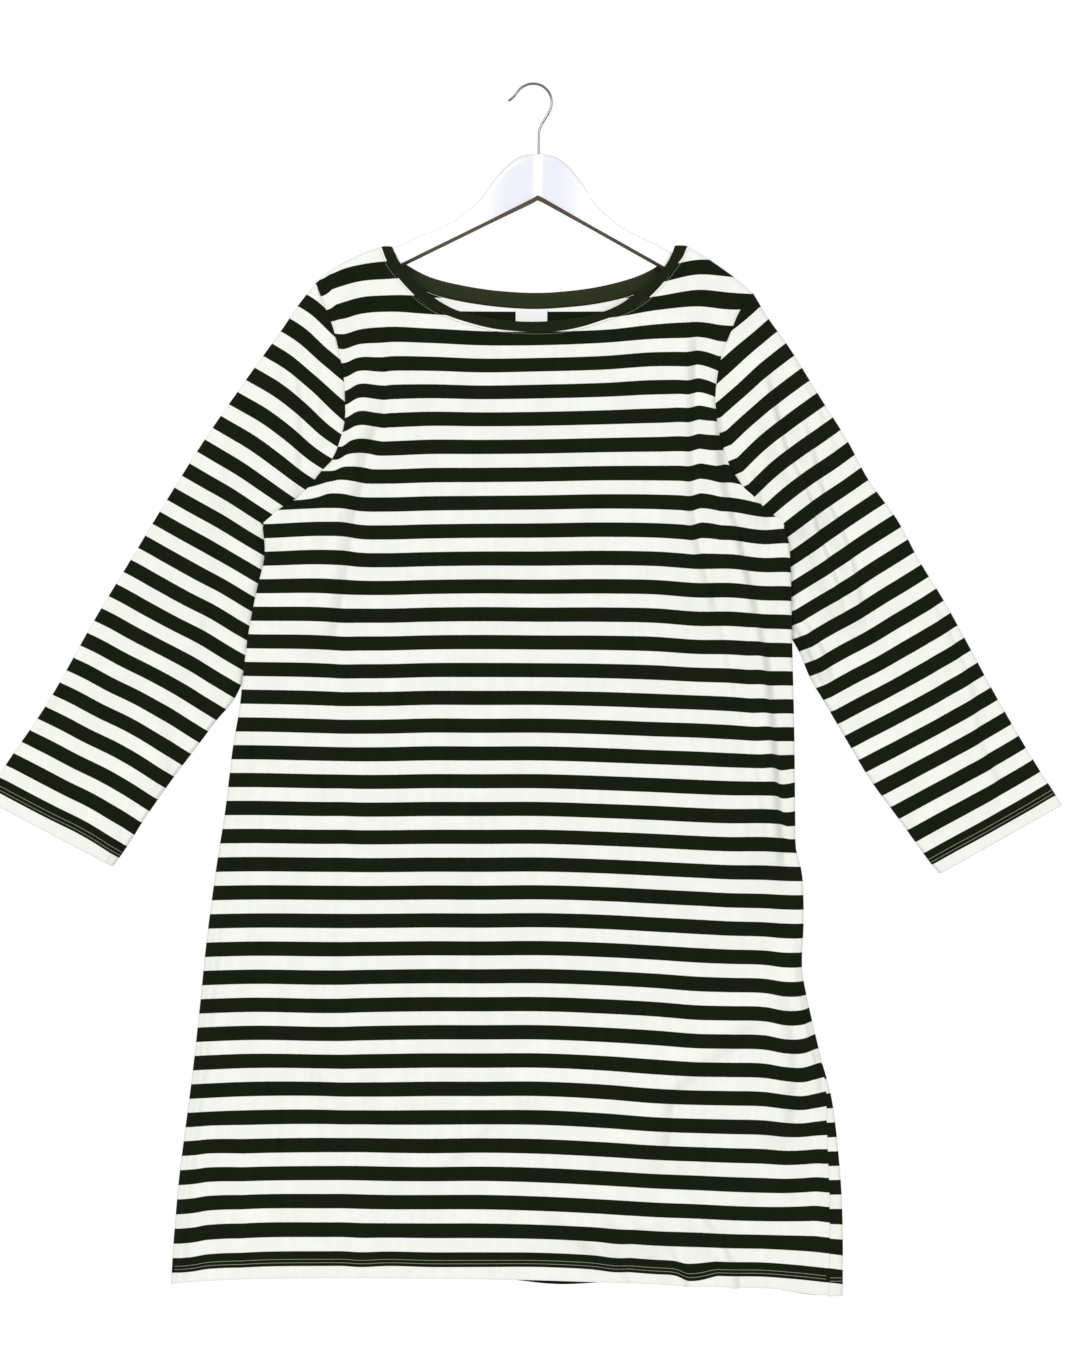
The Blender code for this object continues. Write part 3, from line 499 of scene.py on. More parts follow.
FRONT_SAG_ACROSS = (-340, -270, -198, -183, -167, -140, -100, -50, 7, 70, 120, 160, 190, 225,
                    245, 262, 274, 285)
FRONT_SAG_DOWN = (160, 190, 217, 244, 271, 325, 407, 516, 615, 706, 800, 924, 978, 1033, 1087,
                  1142)
FRONT_SAG = [
    (-2, -1, 5, -6, -10, -14, -10, -4, 0, -1, -5, -13, -12, -9, -8, -7, -5, -4),
    (-2, -1, 2, -2.5, -6, -8, -9, -2.5, 0.5, 2.5, -4, -12, -10, -6, -5, -4, -3, -2),
    (-2, -1, 5.5, 2, -2, -4, -2, 1, 3, 4, -5, -8.5, -6, -6, -4, -3, -3, -2),
    (-2, -1, 2.5, 5, 1, -1.5, -0.5, 2, 2.5, 0, -4.5, -5, -2, -3, -3, -2, -2, -1),
    (-2, -1, 2, 6, 2, -0.5, -0.5, 1.3, 0.5, -1.5, -5, -4, 0.5, -2, -1.5, 2, 1.5, 1),
    (-3, -1.5, 5.5, 5.5, 1, 0, -1.5, -1, -1.5, -3, -4.5, -5, 1, 5, 2, 1, 2, 2),
    (-4.8, -1, -3, -2.8, -0.5, 0, -1, -1.5, -2, -3, -2.5, -1, 0, 4.5, 2.7, 4, 3, 2),
    (-4.5, -3, -2, -1, -1, -1, -2, -2.5, -2, -2, -1, 2, 2, 4.5, 5, 6, 6, 6),
    (-4.5, -4.2, -2.5, -2, -2, -2.2, -3.2, -3, -3.1, -1.6, 0.3, 1.6, 3.1, 5.5, 5.2, 5.5, 5.6, 5.6),
    (-4.5, -5, -4, -4, -3.5, -3.5, -4, -4, -4, -2, 0, 2, 3, 3, 4, 4.5, 5, 5),
    (-3.2, -4.6, -4.3, -4.2, -4.2, -4.3, -4.7, -4.5, -4.9, -3.2, -0.6, 1.4, 3, 3.9, 5, 5, 3.5, 3.2),
    (-2, -4.5, -3.5, -3.5, -4, -4.5, -5, -5, -5, -2.5, 0.5, 3.5, 4, 5, 8.7, 8, 3.7, 1.5),
    (-1.5, -4.5, -4.5, -4, -4, -4, -4.5, -4.5, -4.5, -1.5, 2.5, 4, 4.5, 5.5, 8.2, 9.3, 7, 4.7),
    (-1, -3.5, -4.5, -4.5, -4.5, -4, -3.5, -4, -3, 0, 3, 4.5, 5.5, 6.5, 8, 7.5, 6.5, 6.5),
    (1, -4, -4.5, -4.5, -4, -3.5, -3.5, -3.5, -2, 1, 4, 5.5, 7, 8, 8, 7.5, 7, 8),
    (3.5, -2, -3, -3, -2, -3, -2, -2, -2, 1, 5, 6, 7, 7.5, 9, 10.5, 11.8, 13),
]
BACK_SAG_ACROSS = (-340, -187, 7, 205, 300)
BACK_SAG_DOWN = (190, 240, 330, 500, 800, 1160)
BACK_SAG = [
    (6, 8, 9, 8, 6),
    (5, 7, 8, 7, 5),
    (2, 4, 5, 5, 4),
    (-2, -1, 1, 4, 5),
    (-4, -2, 0, 4, 8),
    (-1, -1, 2, 8, 11),
]
# layer, line of (x, z) from the top down, left width, right width, drop
DRAGS = [
    ("front", ((-171, -235), (-168, -317), (-170, -341), (-173, -356), (-178, -370),
               (-184, -383), (-192, -397), (-204, -420)), 9, 26, -3.2),
    ("front", ((-181, -338), (-184, -354), (-189, -368), (-196, -384)), 13, 6, 2.6),
    ("front", ((-232, -374), (-232, -411)), 30, 34, 7.0),
    ("front", ((-212, -150), (-208, -190), (-200, -225), (-196, -250)), 12, 13, 3.4),
    ("front", ((-152, -235), (-153, -300), (-155, -360)), 8, 16, 1.0),
    ("front", ((181, -300), (184, -350), (188, -370), (194, -385), (198, -398)), 11, 14, -5.0),
    ("front", ((232, -385), (232, -425)), 15, 30, 3.0),
    ("front", ((160, -215), (161, -330), (164, -470)), 8, 19, -2.6),
    ("front", ((150, -250), (151, -340), (155, -480)), 6, 10, 0.8),
    ("front", ((215, -500), (222, -600), (240, -700)), 8, 8, -1.0),
    ("front", ((236, -640), (243, -700), (253, -745)), 4, 14, 2.2),
    ("front", ((84, -1080), (80, -1120), (70, -1240)), 14, 16, 1.4),
    ("front", ((-312, -980), (-314, -1100), (-316, -1260)), 10, 34, -1.3),
    ("front", ((146, -1120), (150, -1145), (156, -1240)), 10, 28, 6.0),
]


def body_stripes(layer, x, y, z):
    """Distance up the cloth: z + sag + drags, and what the swell towards the eye spreads.

    The stripes were levelled for the seam plane. Cloth that stands out by y looks larger by
    y / distance to the eye, which is taken off again. Beside the side seams the back's
    stripes are led to meet those of the front, by a share exp(-distance / 28).
    """
    sag = (read_table(FRONT_SAG_ACROSS, FRONT_SAG_DOWN, FRONT_SAG, x, -z)
           + fold_relief(DRAGS, "front", x, z))
    if layer == "back":
        side = np.minimum(*(edge_distance(path, x, z) for path in BODY_SIDES))
        own = read_table(BACK_SAG_ACROSS, BACK_SAG_DOWN, BACK_SAG, x, -z)
        sag = own + (sag + SEAM_MISMATCH - own) * np.exp(-side / SEAM_LEAD) * (z < ARMPIT_UP)
    return z - y * (z - EYE_UP) / EYE_AWAY * (y < 0) + sag - HEM_STRIPE_UP


print("stripes from shoulder to hem:", round((NECK_FRONT[0][1] - HEM_STRIPE_UP) / REPEAT))

# %% [markdown]
# A sleeve's stripes run across its own axis. They are counted from the lowest dark stripe at
# the cuff, and bow up or down towards the edges as a slanted tube of jersey does.

# %% Stripe rule of the sleeves
SLEEVE_SAG_ALONG = (-62, -40, 15, 46, 70, 125, 180, 265, 375, 506)
SLEEVES = {
    "left": {
        "start": (-240.1, -247.3), "along": (-0.4131, -0.9107), "across": (-0.9107, 0.4131),
        "last_stripe": 510.2,
        "sag_across": (-100, -73, -44, -15, 15, 44, 68),
        "sag": [
            (14, 10, 4.5, -5, -9, -13, -15),
            (14, 10, 4.5, -5, -9, -13, -15),
            (17, 14.5, 7, -1, -5, -8.5, -10),
            (25.5, 17.5, 7.3, 0, -3.3, -6.2, -7.7),
            (21.5, 16.5, 7.5, 1, -2, -4.5, -6),
            (18, 14.5, 8.5, 3, -0.5, -3.5, -5),
            (13, 10, 6.5, 2.5, 0, -2.5, -4),
            (10, 7.5, 4, 2.5, 0, -2.5, -3),
            (11, 7.5, 3.5, 1, 0, -2, -2),
            (13, 8.5, 4, 1, 0, -1.5, -3),
        ],
    },
    "right": {
        "start": (259.5, -247.3), "along": (0.3695, -0.9292), "across": (-0.9292, -0.3695),
        "last_stripe": 503.9,
        "sag_across": (-63, -44, -15, 15, 44, 73, 100),
        "sag": [
            (-22, -20, -18, -15.5, -7, 1, 9),
            (-22, -20, -17.5, -12.5, -3.5, 4, 12),
            (-19.5, -17.5, -14, -7.5, 0.5, 11, 20),
            (-17.8, -15.8, -12, -5.5, 1.9, 11.3, 21.1),
            (-16.5, -14.5, -10.5, -4, 3, 11.5, 22),
            (-14, -12, -8, -1, 5, 13, 23.5),
            (-12.5, -10.5, -6, 0, 6.5, 14, 20.5),
            (-10.5, -8.5, -3.5, 1.5, 7, 11, 15.5),
            (-9.5, -6.5, -2, 2.5, 6, 9, 12),
            (-9, -6, -2, 2, 5.5, 9.5, 13),
        ],
    },
}


def sleeve_stripes(side, x, z):
    """Distances across and up a sleeve's cloth: the latter is last stripe + sag - along.

    Along and across are measured from the start of the sleeve's axis, each as the sum of the
    steps in X and Z times the direction's own two numbers.
    """
    axis = SLEEVES[side]
    dx, dz = x - axis["start"][0], z - axis["start"][1]
    along = dx * axis["along"][0] + dz * axis["along"][1]
    across = dx * axis["across"][0] + dz * axis["across"][1]
    sag = read_table(axis["sag_across"], SLEEVE_SAG_ALONG, axis["sag"], across, along)
    return across, axis["last_stripe"] + sag - along


print("stripes down a sleeve:", {side: round(axis["last_stripe"] / REPEAT)
                                 for side, axis in SLEEVES.items()})

# %% [markdown]
# ## From a grid of points to a sheet
#
# Every piece of cloth is a grid: rows run down it and columns across. One helper turns such a
# grid into a mesh, and a Solidify modifier then gives it the jersey's thickness, inwards, so
# that the outer skin stays where it was worked out. Points that fall together, as where a
# strip tapers to nothing, are merged.

# %% Grid tools
SAME_PLACE = 1e-7         # points nearer than this, in metres, are one
NO_LENGTH = 1e-9          # keeps a division by a length of nothing from failing


def put_in_scene(name, mesh, material):
    """Smooth a finished mesh, give it its material and let it ride on the frame."""
    mesh.shade_smooth()
    mesh.materials.append(material)
    thing = bpy.data.objects.new(name, mesh)
    bpy.context.scene.collection.objects.link(thing)
    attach(thing, "root")
    return thing


def grid_faces(rows, columns, ring, flip):
    """Corner numbers of the quads between neighbouring rows and columns."""
    row = np.arange(rows - 1)[:, None] * columns
    column = np.arange(columns if ring else columns - 1)[None, :]
    after = (column + 1) % columns
    faces = np.stack([row + column, row + columns + column, row + columns + after, row + after],
                     axis=-1).reshape(-1, 4)
    return faces[:, ::-1] if flip else faces


def grid_mesh(name, points, cloth, ring=False, flip=False):
    """A mesh of a (rows, columns, 3) grid in mm, with its (rows, columns, 2) UV map in mm."""
    faces = grid_faces(*points.shape[:2], ring, flip)
    mesh = bpy.data.meshes.new(name)
    mesh.from_pydata((points.reshape(-1, 3) * MM).tolist(), [], faces.tolist())
    layer = mesh.uv_layers.new(name="cloth")
    layer.data.foreach_set("uv", (cloth.reshape(-1, 2)[faces.ravel()] * MM).ravel())
    work = bmesh.new()
    work.from_mesh(mesh)
    bmesh.ops.remove_doubles(work, verts=work.verts, dist=SAME_PLACE)
    work.to_mesh(mesh)
    work.free()
    return mesh


def tube_faces(rows, sides, first=0):
    """Quads round a tube whose points are numbered from first on, and a cap at either end."""
    last = first + (rows - 1) * sides
    quads = (grid_faces(rows, sides, True, False) + first).tolist()
    return [tuple(quad) for quad in quads] + [tuple(range(first + sides - 1, first - 1, -1)),
                                              tuple(range(last, last + sides))]


def closed_mesh(name, points, faces, cloth=None):
    """A closed mesh of points in mm, its faces turned outwards; cloth is its UV map in mm."""
    mesh = bpy.data.meshes.new(name)
    mesh.from_pydata((points * MM).tolist(), [], faces)
    if cloth is not None:
        corner = np.zeros(len(mesh.loops), int)
        mesh.loops.foreach_get("vertex_index", corner)
        layer = mesh.uv_layers.new(name="cloth")
        layer.data.foreach_set("uv", (cloth[corner] * MM).ravel())
    work = bmesh.new()
    work.from_mesh(mesh)
    bmesh.ops.recalc_face_normals(work, faces=work.faces)
    work.to_mesh(mesh)
    work.free()
    return mesh


def ring_of(front, back):
    """Whole rings: the front's columns on the way out, the back's inner ones on the way home."""
    return np.concatenate([front, back[:, 1:-1][:, ::-1]], axis=1)


def mark_points(mesh, name, values):
    """Store one number on every point of a mesh, for a material to read."""
    mark = mesh.attributes.new(name, "FLOAT", "POINT")
    mark.data.foreach_set("value", values.astype(np.float32))


def mark_painted_light(mesh, share):
    """Mark every point with a share of painted light, 0 to 1, worked out from its (x, y, z) in mm.
    """
    place = np.empty(len(mesh.vertices) * 3)
    mesh.vertices.foreach_get("co", place)
    mark_points(mesh, "inside", share(*(place.reshape(-1, 3).T / MM)))


def grid_area(points, ring=False):
    """Area in square metres: half the sum of |diagonal x diagonal| of the quads."""
    if ring:
        points = np.concatenate([points, points[:, :1]], axis=1)
    one = points[1:, 1:] - points[:-1, :-1]
    other = points[1:, :-1] - points[:-1, 1:]
    return float(np.linalg.norm(np.cross(one, other), axis=2).sum() / 2 * MM * MM)


def ring_normals(points):
    """Unit normals of a grid of rings: the cross product of its steps down and round."""
    across = np.roll(points, -1, axis=1) - np.roll(points, 1, axis=1)
    normal = np.cross(np.gradient(points, axis=0), across)
    return normal / np.maximum(np.linalg.norm(normal, axis=2, keepdims=True), NO_LENGTH)


def thicken(thing, thickness=CLOTH):
    """Give a sheet its thickness on its inner side."""
    shell = thing.modifiers.new("thickness", "SOLIDIFY")
    shell.thickness = thickness * MM
    shell.offset = -1
    return thing


print("a sheet of 3 rows and 4 columns has", len(grid_faces(3, 4, False, False)), "quads")

# %% [markdown]
# ## Materials
#
# Jersey is knitted: rows of small V-shaped loops, about twelve to the centimetre. From a step
# away one sees only a soft, slightly streaky surface, because the yarn isn't equally thick
# everywhere. The material draws the stripe from the UV map, lets the yarn's streaks vary its
# tone, roughens the border between two stripes by half a loop, and raises the loops by bump.
# A ready-made image of a knit could be laid on instead, but nodes stay sharp from any nearness.

# %% Node helpers
def node(tree, kind, inputs=None, **settings):
    """Add a node; an input that is a socket is linked, anything else becomes its value."""
    made = tree.nodes.new(kind)
    for name, value in settings.items():
        setattr(made, name, value)
    for name, value in (inputs or {}).items():
        if isinstance(value, bpy.types.NodeSocket):
            tree.links.new(value, made.inputs[name])
        else:
            made.inputs[name].default_value = value
    return made


def math_node(tree, operation, *values):
    """A Math node; returns its output."""
    return node(tree, "ShaderNodeMath", dict(enumerate(values)), operation=operation).outputs[0]


def mix_colour(tree, share, one, other):
    """A blend of two colours by a share; returns its output."""
    made = node(tree, "ShaderNodeMix", data_type="RGBA")
    for place, value in ((0, share), (6, one), (7, other)):
        if isinstance(value, bpy.types.NodeSocket):
            tree.links.new(value, made.inputs[place])
        else:
            made.inputs[place].default_value = value
    return made.outputs[2]


def noise(tree, place, scale, detail, stretch=None, roughness=0.5):
    """Noise from 0 to 1 over a place, which may first be multiplied by three numbers."""
    if stretch:
        place = node(tree, "ShaderNodeMapping",
                     {"Vector": place, "Scale": stretch}).outputs["Vector"]
    return node(tree, "ShaderNodeTexNoise", {"Vector": place, "Scale": scale, "Detail": detail,
                                             "Roughness": roughness}).outputs["Fac"]


def marked(tree, name):
    """The number that every point of the mesh carries under a name."""
    return node(tree, "ShaderNodeAttribute", attribute_name=name).outputs["Fac"]


def raise_surface(tree, shader, height, strength, distance):
    """Let light fall on the shader as if its surface had the given height."""
    bump = node(tree, "ShaderNodeBump", {"Height": height, "Strength": strength,
                                         "Distance": distance})
    tree.links.new(bump.outputs["Normal"], shader.inputs["Normal"])


def new_material(name, **sockets):
    """A material whose shader has the given constant sockets; returns it, its tree, shader."""
    material = bpy.data.materials.new(name)
    material.use_nodes = True
    tree = material.node_tree
    shader = tree.nodes["Principled BSDF"]
    for socket, value in sockets.items():
        shader.inputs[socket.replace("_", " ")].default_value = value
    return material, tree, shader


print("node helpers ready; materials so far:", len(bpy.data.materials))

# %% [markdown]
# The jersey's yarns are never one colour. Four noises of different grain are added into one
# tone that slides between a darker and a lighter shade of the yarn, and a fifth lets patches
# of it turn brownish or rosy. Inside the neck a mark on the points lightens the yarns: this is
# painted light, which lifts the shade that falls into the neck's recess.

# %% Jersey
WALE = 0.85 * MM          # width of one knitted loop
COURSE = 0.62 * MM        # height of one knitted loop
DARK_YARN = ((0.0022, 0.0062, 0.0010, 1), (0.0105, 0.0140, 0.0052, 1))
DARK_BROWNISH = (0.0095, 0.0085, 0.0040, 1)
LIGHT_YARN = ((0.69, 0.70, 0.64, 1), (0.90, 0.91, 0.845, 1))
LIGHT_ROSY = (0.81, 0.785, 0.765, 1)
# Painted light: lightened yarn colours for the shaded inside of the neck.
LIGHT_PAINTED_LIT = (0.97, 0.97, 0.925, 1)   # the same yarns inside the neck
# Painted light: the band's dark yarn lightened on its inner side behind the neck.
DARK_PAINTED_LIT = (0.0290, 0.0345, 0.0150, 1)
BORDER = 0.006            # half the width of a stripe's soft border, as a share of the repeat
KNIT_RELIEF = 0.12 * MM   # how high the loops stand


def knit_height(tree, across, up):
    """Height of the loops, 0 to 1: |sin(pi u)| (0.4 + 0.6 |sin(pi (v + lean))|).

    u and v count wales across and courses up, and the lean zigzags by half a course over
    each wale, which sets the courses into a V.
    """
    wale = math_node(tree, "DIVIDE", across, WALE)
    rib = math_node(tree, "ABSOLUTE", math_node(tree, "SINE", math_node(
        tree, "MULTIPLY", wale, math.pi)))
    lean = math_node(tree, "PINGPONG", wale, 0.5)
    course = math_node(tree, "ADD", math_node(tree, "DIVIDE", up, COURSE), lean)
    loop = math_node(tree, "ABSOLUTE", math_node(tree, "SINE", math_node(
        tree, "MULTIPLY", course, math.pi)))
    return math_node(tree, "MULTIPLY", rib, math_node(tree, "ADD", 0.4, math_node(
        tree, "MULTIPLY", loop, 0.6)))


def yarn_tones(tree, cloth, fuzz):
    """Tone and hue of the yarn, and its lengthwise slubs.

    The tone is 0.45 (slub + cloudy) + 0.45 wales + 0.3 fuzz - 0.32. The hue comes from a
    broad noise: it is 0 where that is below 0.4 and rises to 0.6 where that is 0.75.
    """
    slub = noise(tree, cloth, 1.0, 3.0, stretch=(90, 1500, 1), roughness=0.6)
    cloudy = noise(tree, cloth, 38.0, 4.0)
    wales = noise(tree, cloth, 1.0, 2.0, stretch=(130, 15, 1))
    coarse = math_node(tree, "MULTIPLY", math_node(tree, "ADD", slub, cloudy), 0.45)
    fine = math_node(tree, "ADD", math_node(tree, "MULTIPLY", wales, 0.45),
                     math_node(tree, "MULTIPLY", fuzz, 0.3))
    tone = math_node(tree, "SUBTRACT", math_node(tree, "ADD", coarse, fine), 0.32)
    hue = noise(tree, cloth, 1.0, 2.0, stretch=(14, 34, 1))
    hue = node(tree, "ShaderNodeMapRange", {"Value": hue, "From Min": 0.4, "From Max": 0.75,
                                            "To Max": 0.6}).outputs["Result"]
    return tone, hue, slub


def stripe_share(tree, up, fuzz):
    """0 in a dark stripe and 1 in a light one, with a border roughened by the fuzz."""
    ragged = math_node(tree, "MULTIPLY", math_node(tree, "SUBTRACT", fuzz, 0.5), COURSE)
    place = math_node(tree, "DIVIDE", math_node(tree, "ADD", up, ragged), REPEAT * MM)
    away = math_node(tree, "PINGPONG", place, 0.5)
    return node(tree, "ShaderNodeMapRange", {
        "Value": away, "From Min": DARK_SHARE / 2 - BORDER,
        "From Max": DARK_SHARE / 2 + BORDER}).outputs["Result"]


def jersey(name, striped):
    """Jersey of two yarns in stripes, or of the dark yarn alone."""
    material, tree, shader = new_material(name, Roughness=0.92, Sheen_Weight=0.05,
                                          Sheen_Roughness=0.4)
    shader.inputs["Specular IOR Level"].default_value = 0.06
    shader.inputs["Sheen Tint"].default_value = (0.75, 0.8, 0.62, 1)
    cloth = node(tree, "ShaderNodeUVMap", uv_map="cloth").outputs["UV"]
    split = node(tree, "ShaderNodeSeparateXYZ", {"Vector": cloth})
    across, up = split.outputs["X"], split.outputs["Y"]
    fuzz = noise(tree, cloth, 1300.0, 2.0)
    tone, hue, slub = yarn_tones(tree, cloth, fuzz)
    # Painted light: lightens the yarns in the shaded neck; on the band also a painted shade line.
    inside = marked(tree, "inside")
    dark = mix_colour(tree, hue, mix_colour(tree, tone, *DARK_YARN), DARK_BROWNISH)
    if striped:
        light = mix_colour(tree, hue, mix_colour(tree, tone, *LIGHT_YARN), LIGHT_ROSY)
        light = mix_colour(tree, inside, light, LIGHT_PAINTED_LIT)
        colour = mix_colour(tree, stripe_share(tree, up, fuzz), dark, light)
    else:
        colour = mix_colour(tree, inside, dark, DARK_PAINTED_LIT)
    tree.links.new(colour, shader.inputs["Base Color"])
    height = math_node(tree, "ADD", knit_height(tree, across, up),
                       math_node(tree, "MULTIPLY", slub, 0.8))
    raise_surface(tree, shader, height, 0.35, KNIT_RELIEF)
    return material


striped_jersey = jersey("striped_jersey_knit", True)
dark_jersey = jersey("dark_jersey_knit", False)
print("jersey materials:", striped_jersey.name, dark_jersey.name)

# %% [markdown]
# The other finishes are simpler. Sewing thread is matt and twisted. The label is a satin
# woven tape. The hanger's wood is sprayed with glossy white paint that follows the grain
# faintly; round the head its faces towards the front get a bluish-grey painted shade. Its
# underside is matt and painted dark brown as painted shade. The hook is bright drawn wire.

# %% Thread and tape
THREAD_TONES = ((0.27, 0.28, 0.20, 1), (0.42, 0.42, 0.33, 1))
TAPE_TONES = ((0.89, 0.89, 0.875, 1), (0.96, 0.96, 0.945, 1))


def thread_material():
    """Olive-grey thread with a fine twist along its own UV map."""
    material, tree, shader = new_material("seam_thread", Roughness=0.7, Sheen_Weight=0.2)
    cloth = node(tree, "ShaderNodeUVMap", uv_map="cloth").outputs["UV"]
    twist = node(tree, "ShaderNodeTexWave", {"Vector": cloth, "Scale": 420.0,
                                             "Distortion": 1.0}, bands_direction="DIAGONAL")
    colour = mix_colour(tree, twist.outputs["Fac"], *THREAD_TONES)
    tree.links.new(colour, shader.inputs["Base Color"])
    return material


def tape_material():
    """Satin woven tape: fine warp and weft ribs, with a little gloss."""
    material, tree, shader = new_material("woven_tape", Roughness=0.55, Sheen_Weight=0.3)
    place = node(tree, "ShaderNodeTexCoord").outputs["Object"]
    weft = node(tree, "ShaderNodeTexWave", {"Vector": place, "Scale": 620.0, "Distortion": 0.6},
                bands_direction="Z")
    warp = node(tree, "ShaderNodeTexWave", {"Vector": place, "Scale": 480.0, "Distortion": 0.6},
                bands_direction="X")
    weave = math_node(tree, "MULTIPLY", weft.outputs["Fac"], warp.outputs["Fac"])
    tree.links.new(mix_colour(tree, weave, *TAPE_TONES), shader.inputs["Base Color"])
    raise_surface(tree, shader, weave, 0.3, 0.1 * MM)
    return material


# %% Paint and wire
PAINT_TONES = ((0.93, 0.93, 0.94, 1), (0.97, 0.97, 0.98, 1))
# Painted shade: the bluish grey of the hanger head's faces towards the front.
HEAD_SHADE_TINT = (0.775, 0.77, 0.84, 1)
# Painted shade: the dark brown of the hanger's underside.
UNDERSIDE_SHADE_TONES = ((0.090, 0.060, 0.032, 1), (0.19, 0.137, 0.078, 1))
LACQUER = 0.5             # weight of the clear coat on the paint
UNDERSIDE_ROUGHER = 0.5        # how much rougher the underside is
WIRE_TONES = ((0.21, 0.19, 0.18, 1), (0.33, 0.30, 0.285, 1))


def paint_material():
    """Sprayed gloss paint over planed wood; its underside is painted dark brown as painted shade.

    The mark "underside" is 1 there, where the clear coat goes down to 0 and the roughness
    up. A second mark is 1 where the head's faces towards the front get a bluish-grey
    painted shade.
    """
    material, tree, shader = new_material("gloss_paint", Coat_Roughness=0.08)
    place = node(tree, "ShaderNodeTexCoord").outputs["Object"]
    ripple = noise(tree, place, 1.0, 5.0, stretch=(12, 60, 160))
    orange_peel = noise(tree, place, 420.0, 2.0)
    under = marked(tree, "underside")
    paint = mix_colour(tree, ripple, *PAINT_TONES)
    # Painted shade: a bluish grey on the head's faces towards the front.
    paint = mix_colour(tree, marked(tree, "head_shade"), paint, HEAD_SHADE_TINT)
    # Painted shade: a dark brown on the underside.
    underside_shade = mix_colour(tree, ripple, *UNDERSIDE_SHADE_TONES)
    tree.links.new(mix_colour(tree, under, paint, underside_shade), shader.inputs["Base Color"])
    rough = node(tree, "ShaderNodeMapRange", {"Value": ripple, "To Min": 0.16, "To Max": 0.3})
    matt = math_node(tree, "ADD", rough.outputs["Result"],
                     math_node(tree, "MULTIPLY", under, UNDERSIDE_ROUGHER))
    tree.links.new(matt, shader.inputs["Roughness"])
    coat = math_node(tree, "SUBTRACT", LACQUER, math_node(tree, "MULTIPLY", under, LACQUER))
    tree.links.new(coat, shader.inputs["Coat Weight"])
    height = math_node(tree, "ADD", ripple, math_node(tree, "MULTIPLY", orange_peel, 0.15))
    raise_surface(tree, shader, height, 0.12, 0.15 * MM)
    return material


def wire_material():
    """Drawn bright wire: fine lengthwise scratches that vary its gloss."""
    material, tree, shader = new_material("bright_wire", Metallic=1.0)
    cloth = node(tree, "ShaderNodeUVMap", uv_map="cloth").outputs["UV"]
    scratch = noise(tree, cloth, 1.0, 1.0, stretch=(3000, 25, 1))
    tree.links.new(mix_colour(tree, scratch, *WIRE_TONES), shader.inputs["Base Color"])
    rough = node(tree, "ShaderNodeMapRange", {"Value": scratch, "To Min": 0.22, "To Max": 0.32})
    tree.links.new(rough.outputs["Result"], shader.inputs["Roughness"])
    return material


seam_thread = thread_material()
woven_tape = tape_material()
gloss_paint = paint_material()
bright_wire = wire_material()
print("plain finishes:", seam_thread.name, woven_tape.name, gloss_paint.name, bright_wire.name)

# %% [markdown]
# ## Front and back panels
#
# A panel has four edges: shoulders and neck at the top, armhole and side seam on each side,
# and the hem. The grid is stretched between them. Each column first runs straight from the
# top edge to the hem, and the curved sides then pull the columns next to them into line.
#
# The hem is turned up inside. The grid simply goes on past the fold: it rolls round the edge
# and climbs back up on the inner side, so the turning is part of the same sheet. The front
# stands out towards the eye and would look too long, so its hem is raised by that much.
#
# At the lower right the back panel's edge has twisted round to the front. There the seam
# lies a little way in from the outline, and the back panel gets extra columns that wrap round
# the edge to meet it.

# %% Panel grid
SIDE_PULL = 5             # how quickly the pull of a side edge dies away across a panel
ARMHOLE_SHARE = 0.26      # of a panel's height that its armhole takes
ARMHOLE_ROWS = crowded(56, 0.75)     # shares down the armhole
SIDE_ROWS = crowded(126, 0.6)[1:]    # shares down the side seam
PANEL_COLUMNS = 233
CORNER_SHARE = 0.19       # where the columns from the corner of neck and shoulder begin
SAME_SHARE = 1e-6         # shares closer than this are one
HEM_RADIUS = 1.15         # of the fold along the hem
BACK_HEM_DROP = 5.0       # how far the back hem shows below the front one
BACK_DROP_MIDDLE = 27.0   # where across it hangs lowest
BACK_DROP_REACH = 42.0    # and how far to either side it rises again
# (height, distance of the seam from the outline) where the back wraps to the front
WRAP_UP = (-1175, -1081, -1033, -997, -963, -936)
WRAP_WIDTH = (14.5, 12.6, 10.7, 7.8, 2.4, 0)
WRAP_STEPS = (0.03, 0.1, 0.2, 0.34, 0.52, 0.75, 1)


def panel_columns():
    """Shares across a panel: close together at the seams and where the folds run.

    Their closeness is 0.8 + 5 exp(-t / 0.014) from either seam, and 1.1 exp(-(d / 0.1)^2)
    about the places at 0.2 and 0.8; its running sum, from 0 to 1, is read at even steps.
    """
    t = np.linspace(0, 1, 4001)
    inner = np.minimum(t, 1 - t)
    closeness = (0.8 + 5 * np.exp(-inner / 0.014) + 1.1 * np.exp(-((inner - 0.2) / 0.1) ** 2))
    running = np.append(0, np.cumsum((closeness[1:] + closeness[:-1]) / 2))
    return np.interp(np.linspace(0, 1, PANEL_COLUMNS), running / running[-1], t)


def wrap_width(z):
    """How far in from the outline the right side seam shows in front, at a height."""
    return np.where(z < WRAP_UP[-1], between(WRAP_UP, WRAP_WIDTH, z), 0).clip(0)


steps = np.diff(panel_columns())
print("columns:", PANEL_COLUMNS, "apart by", steps.min().round(5), "to", steps.max().round(5))


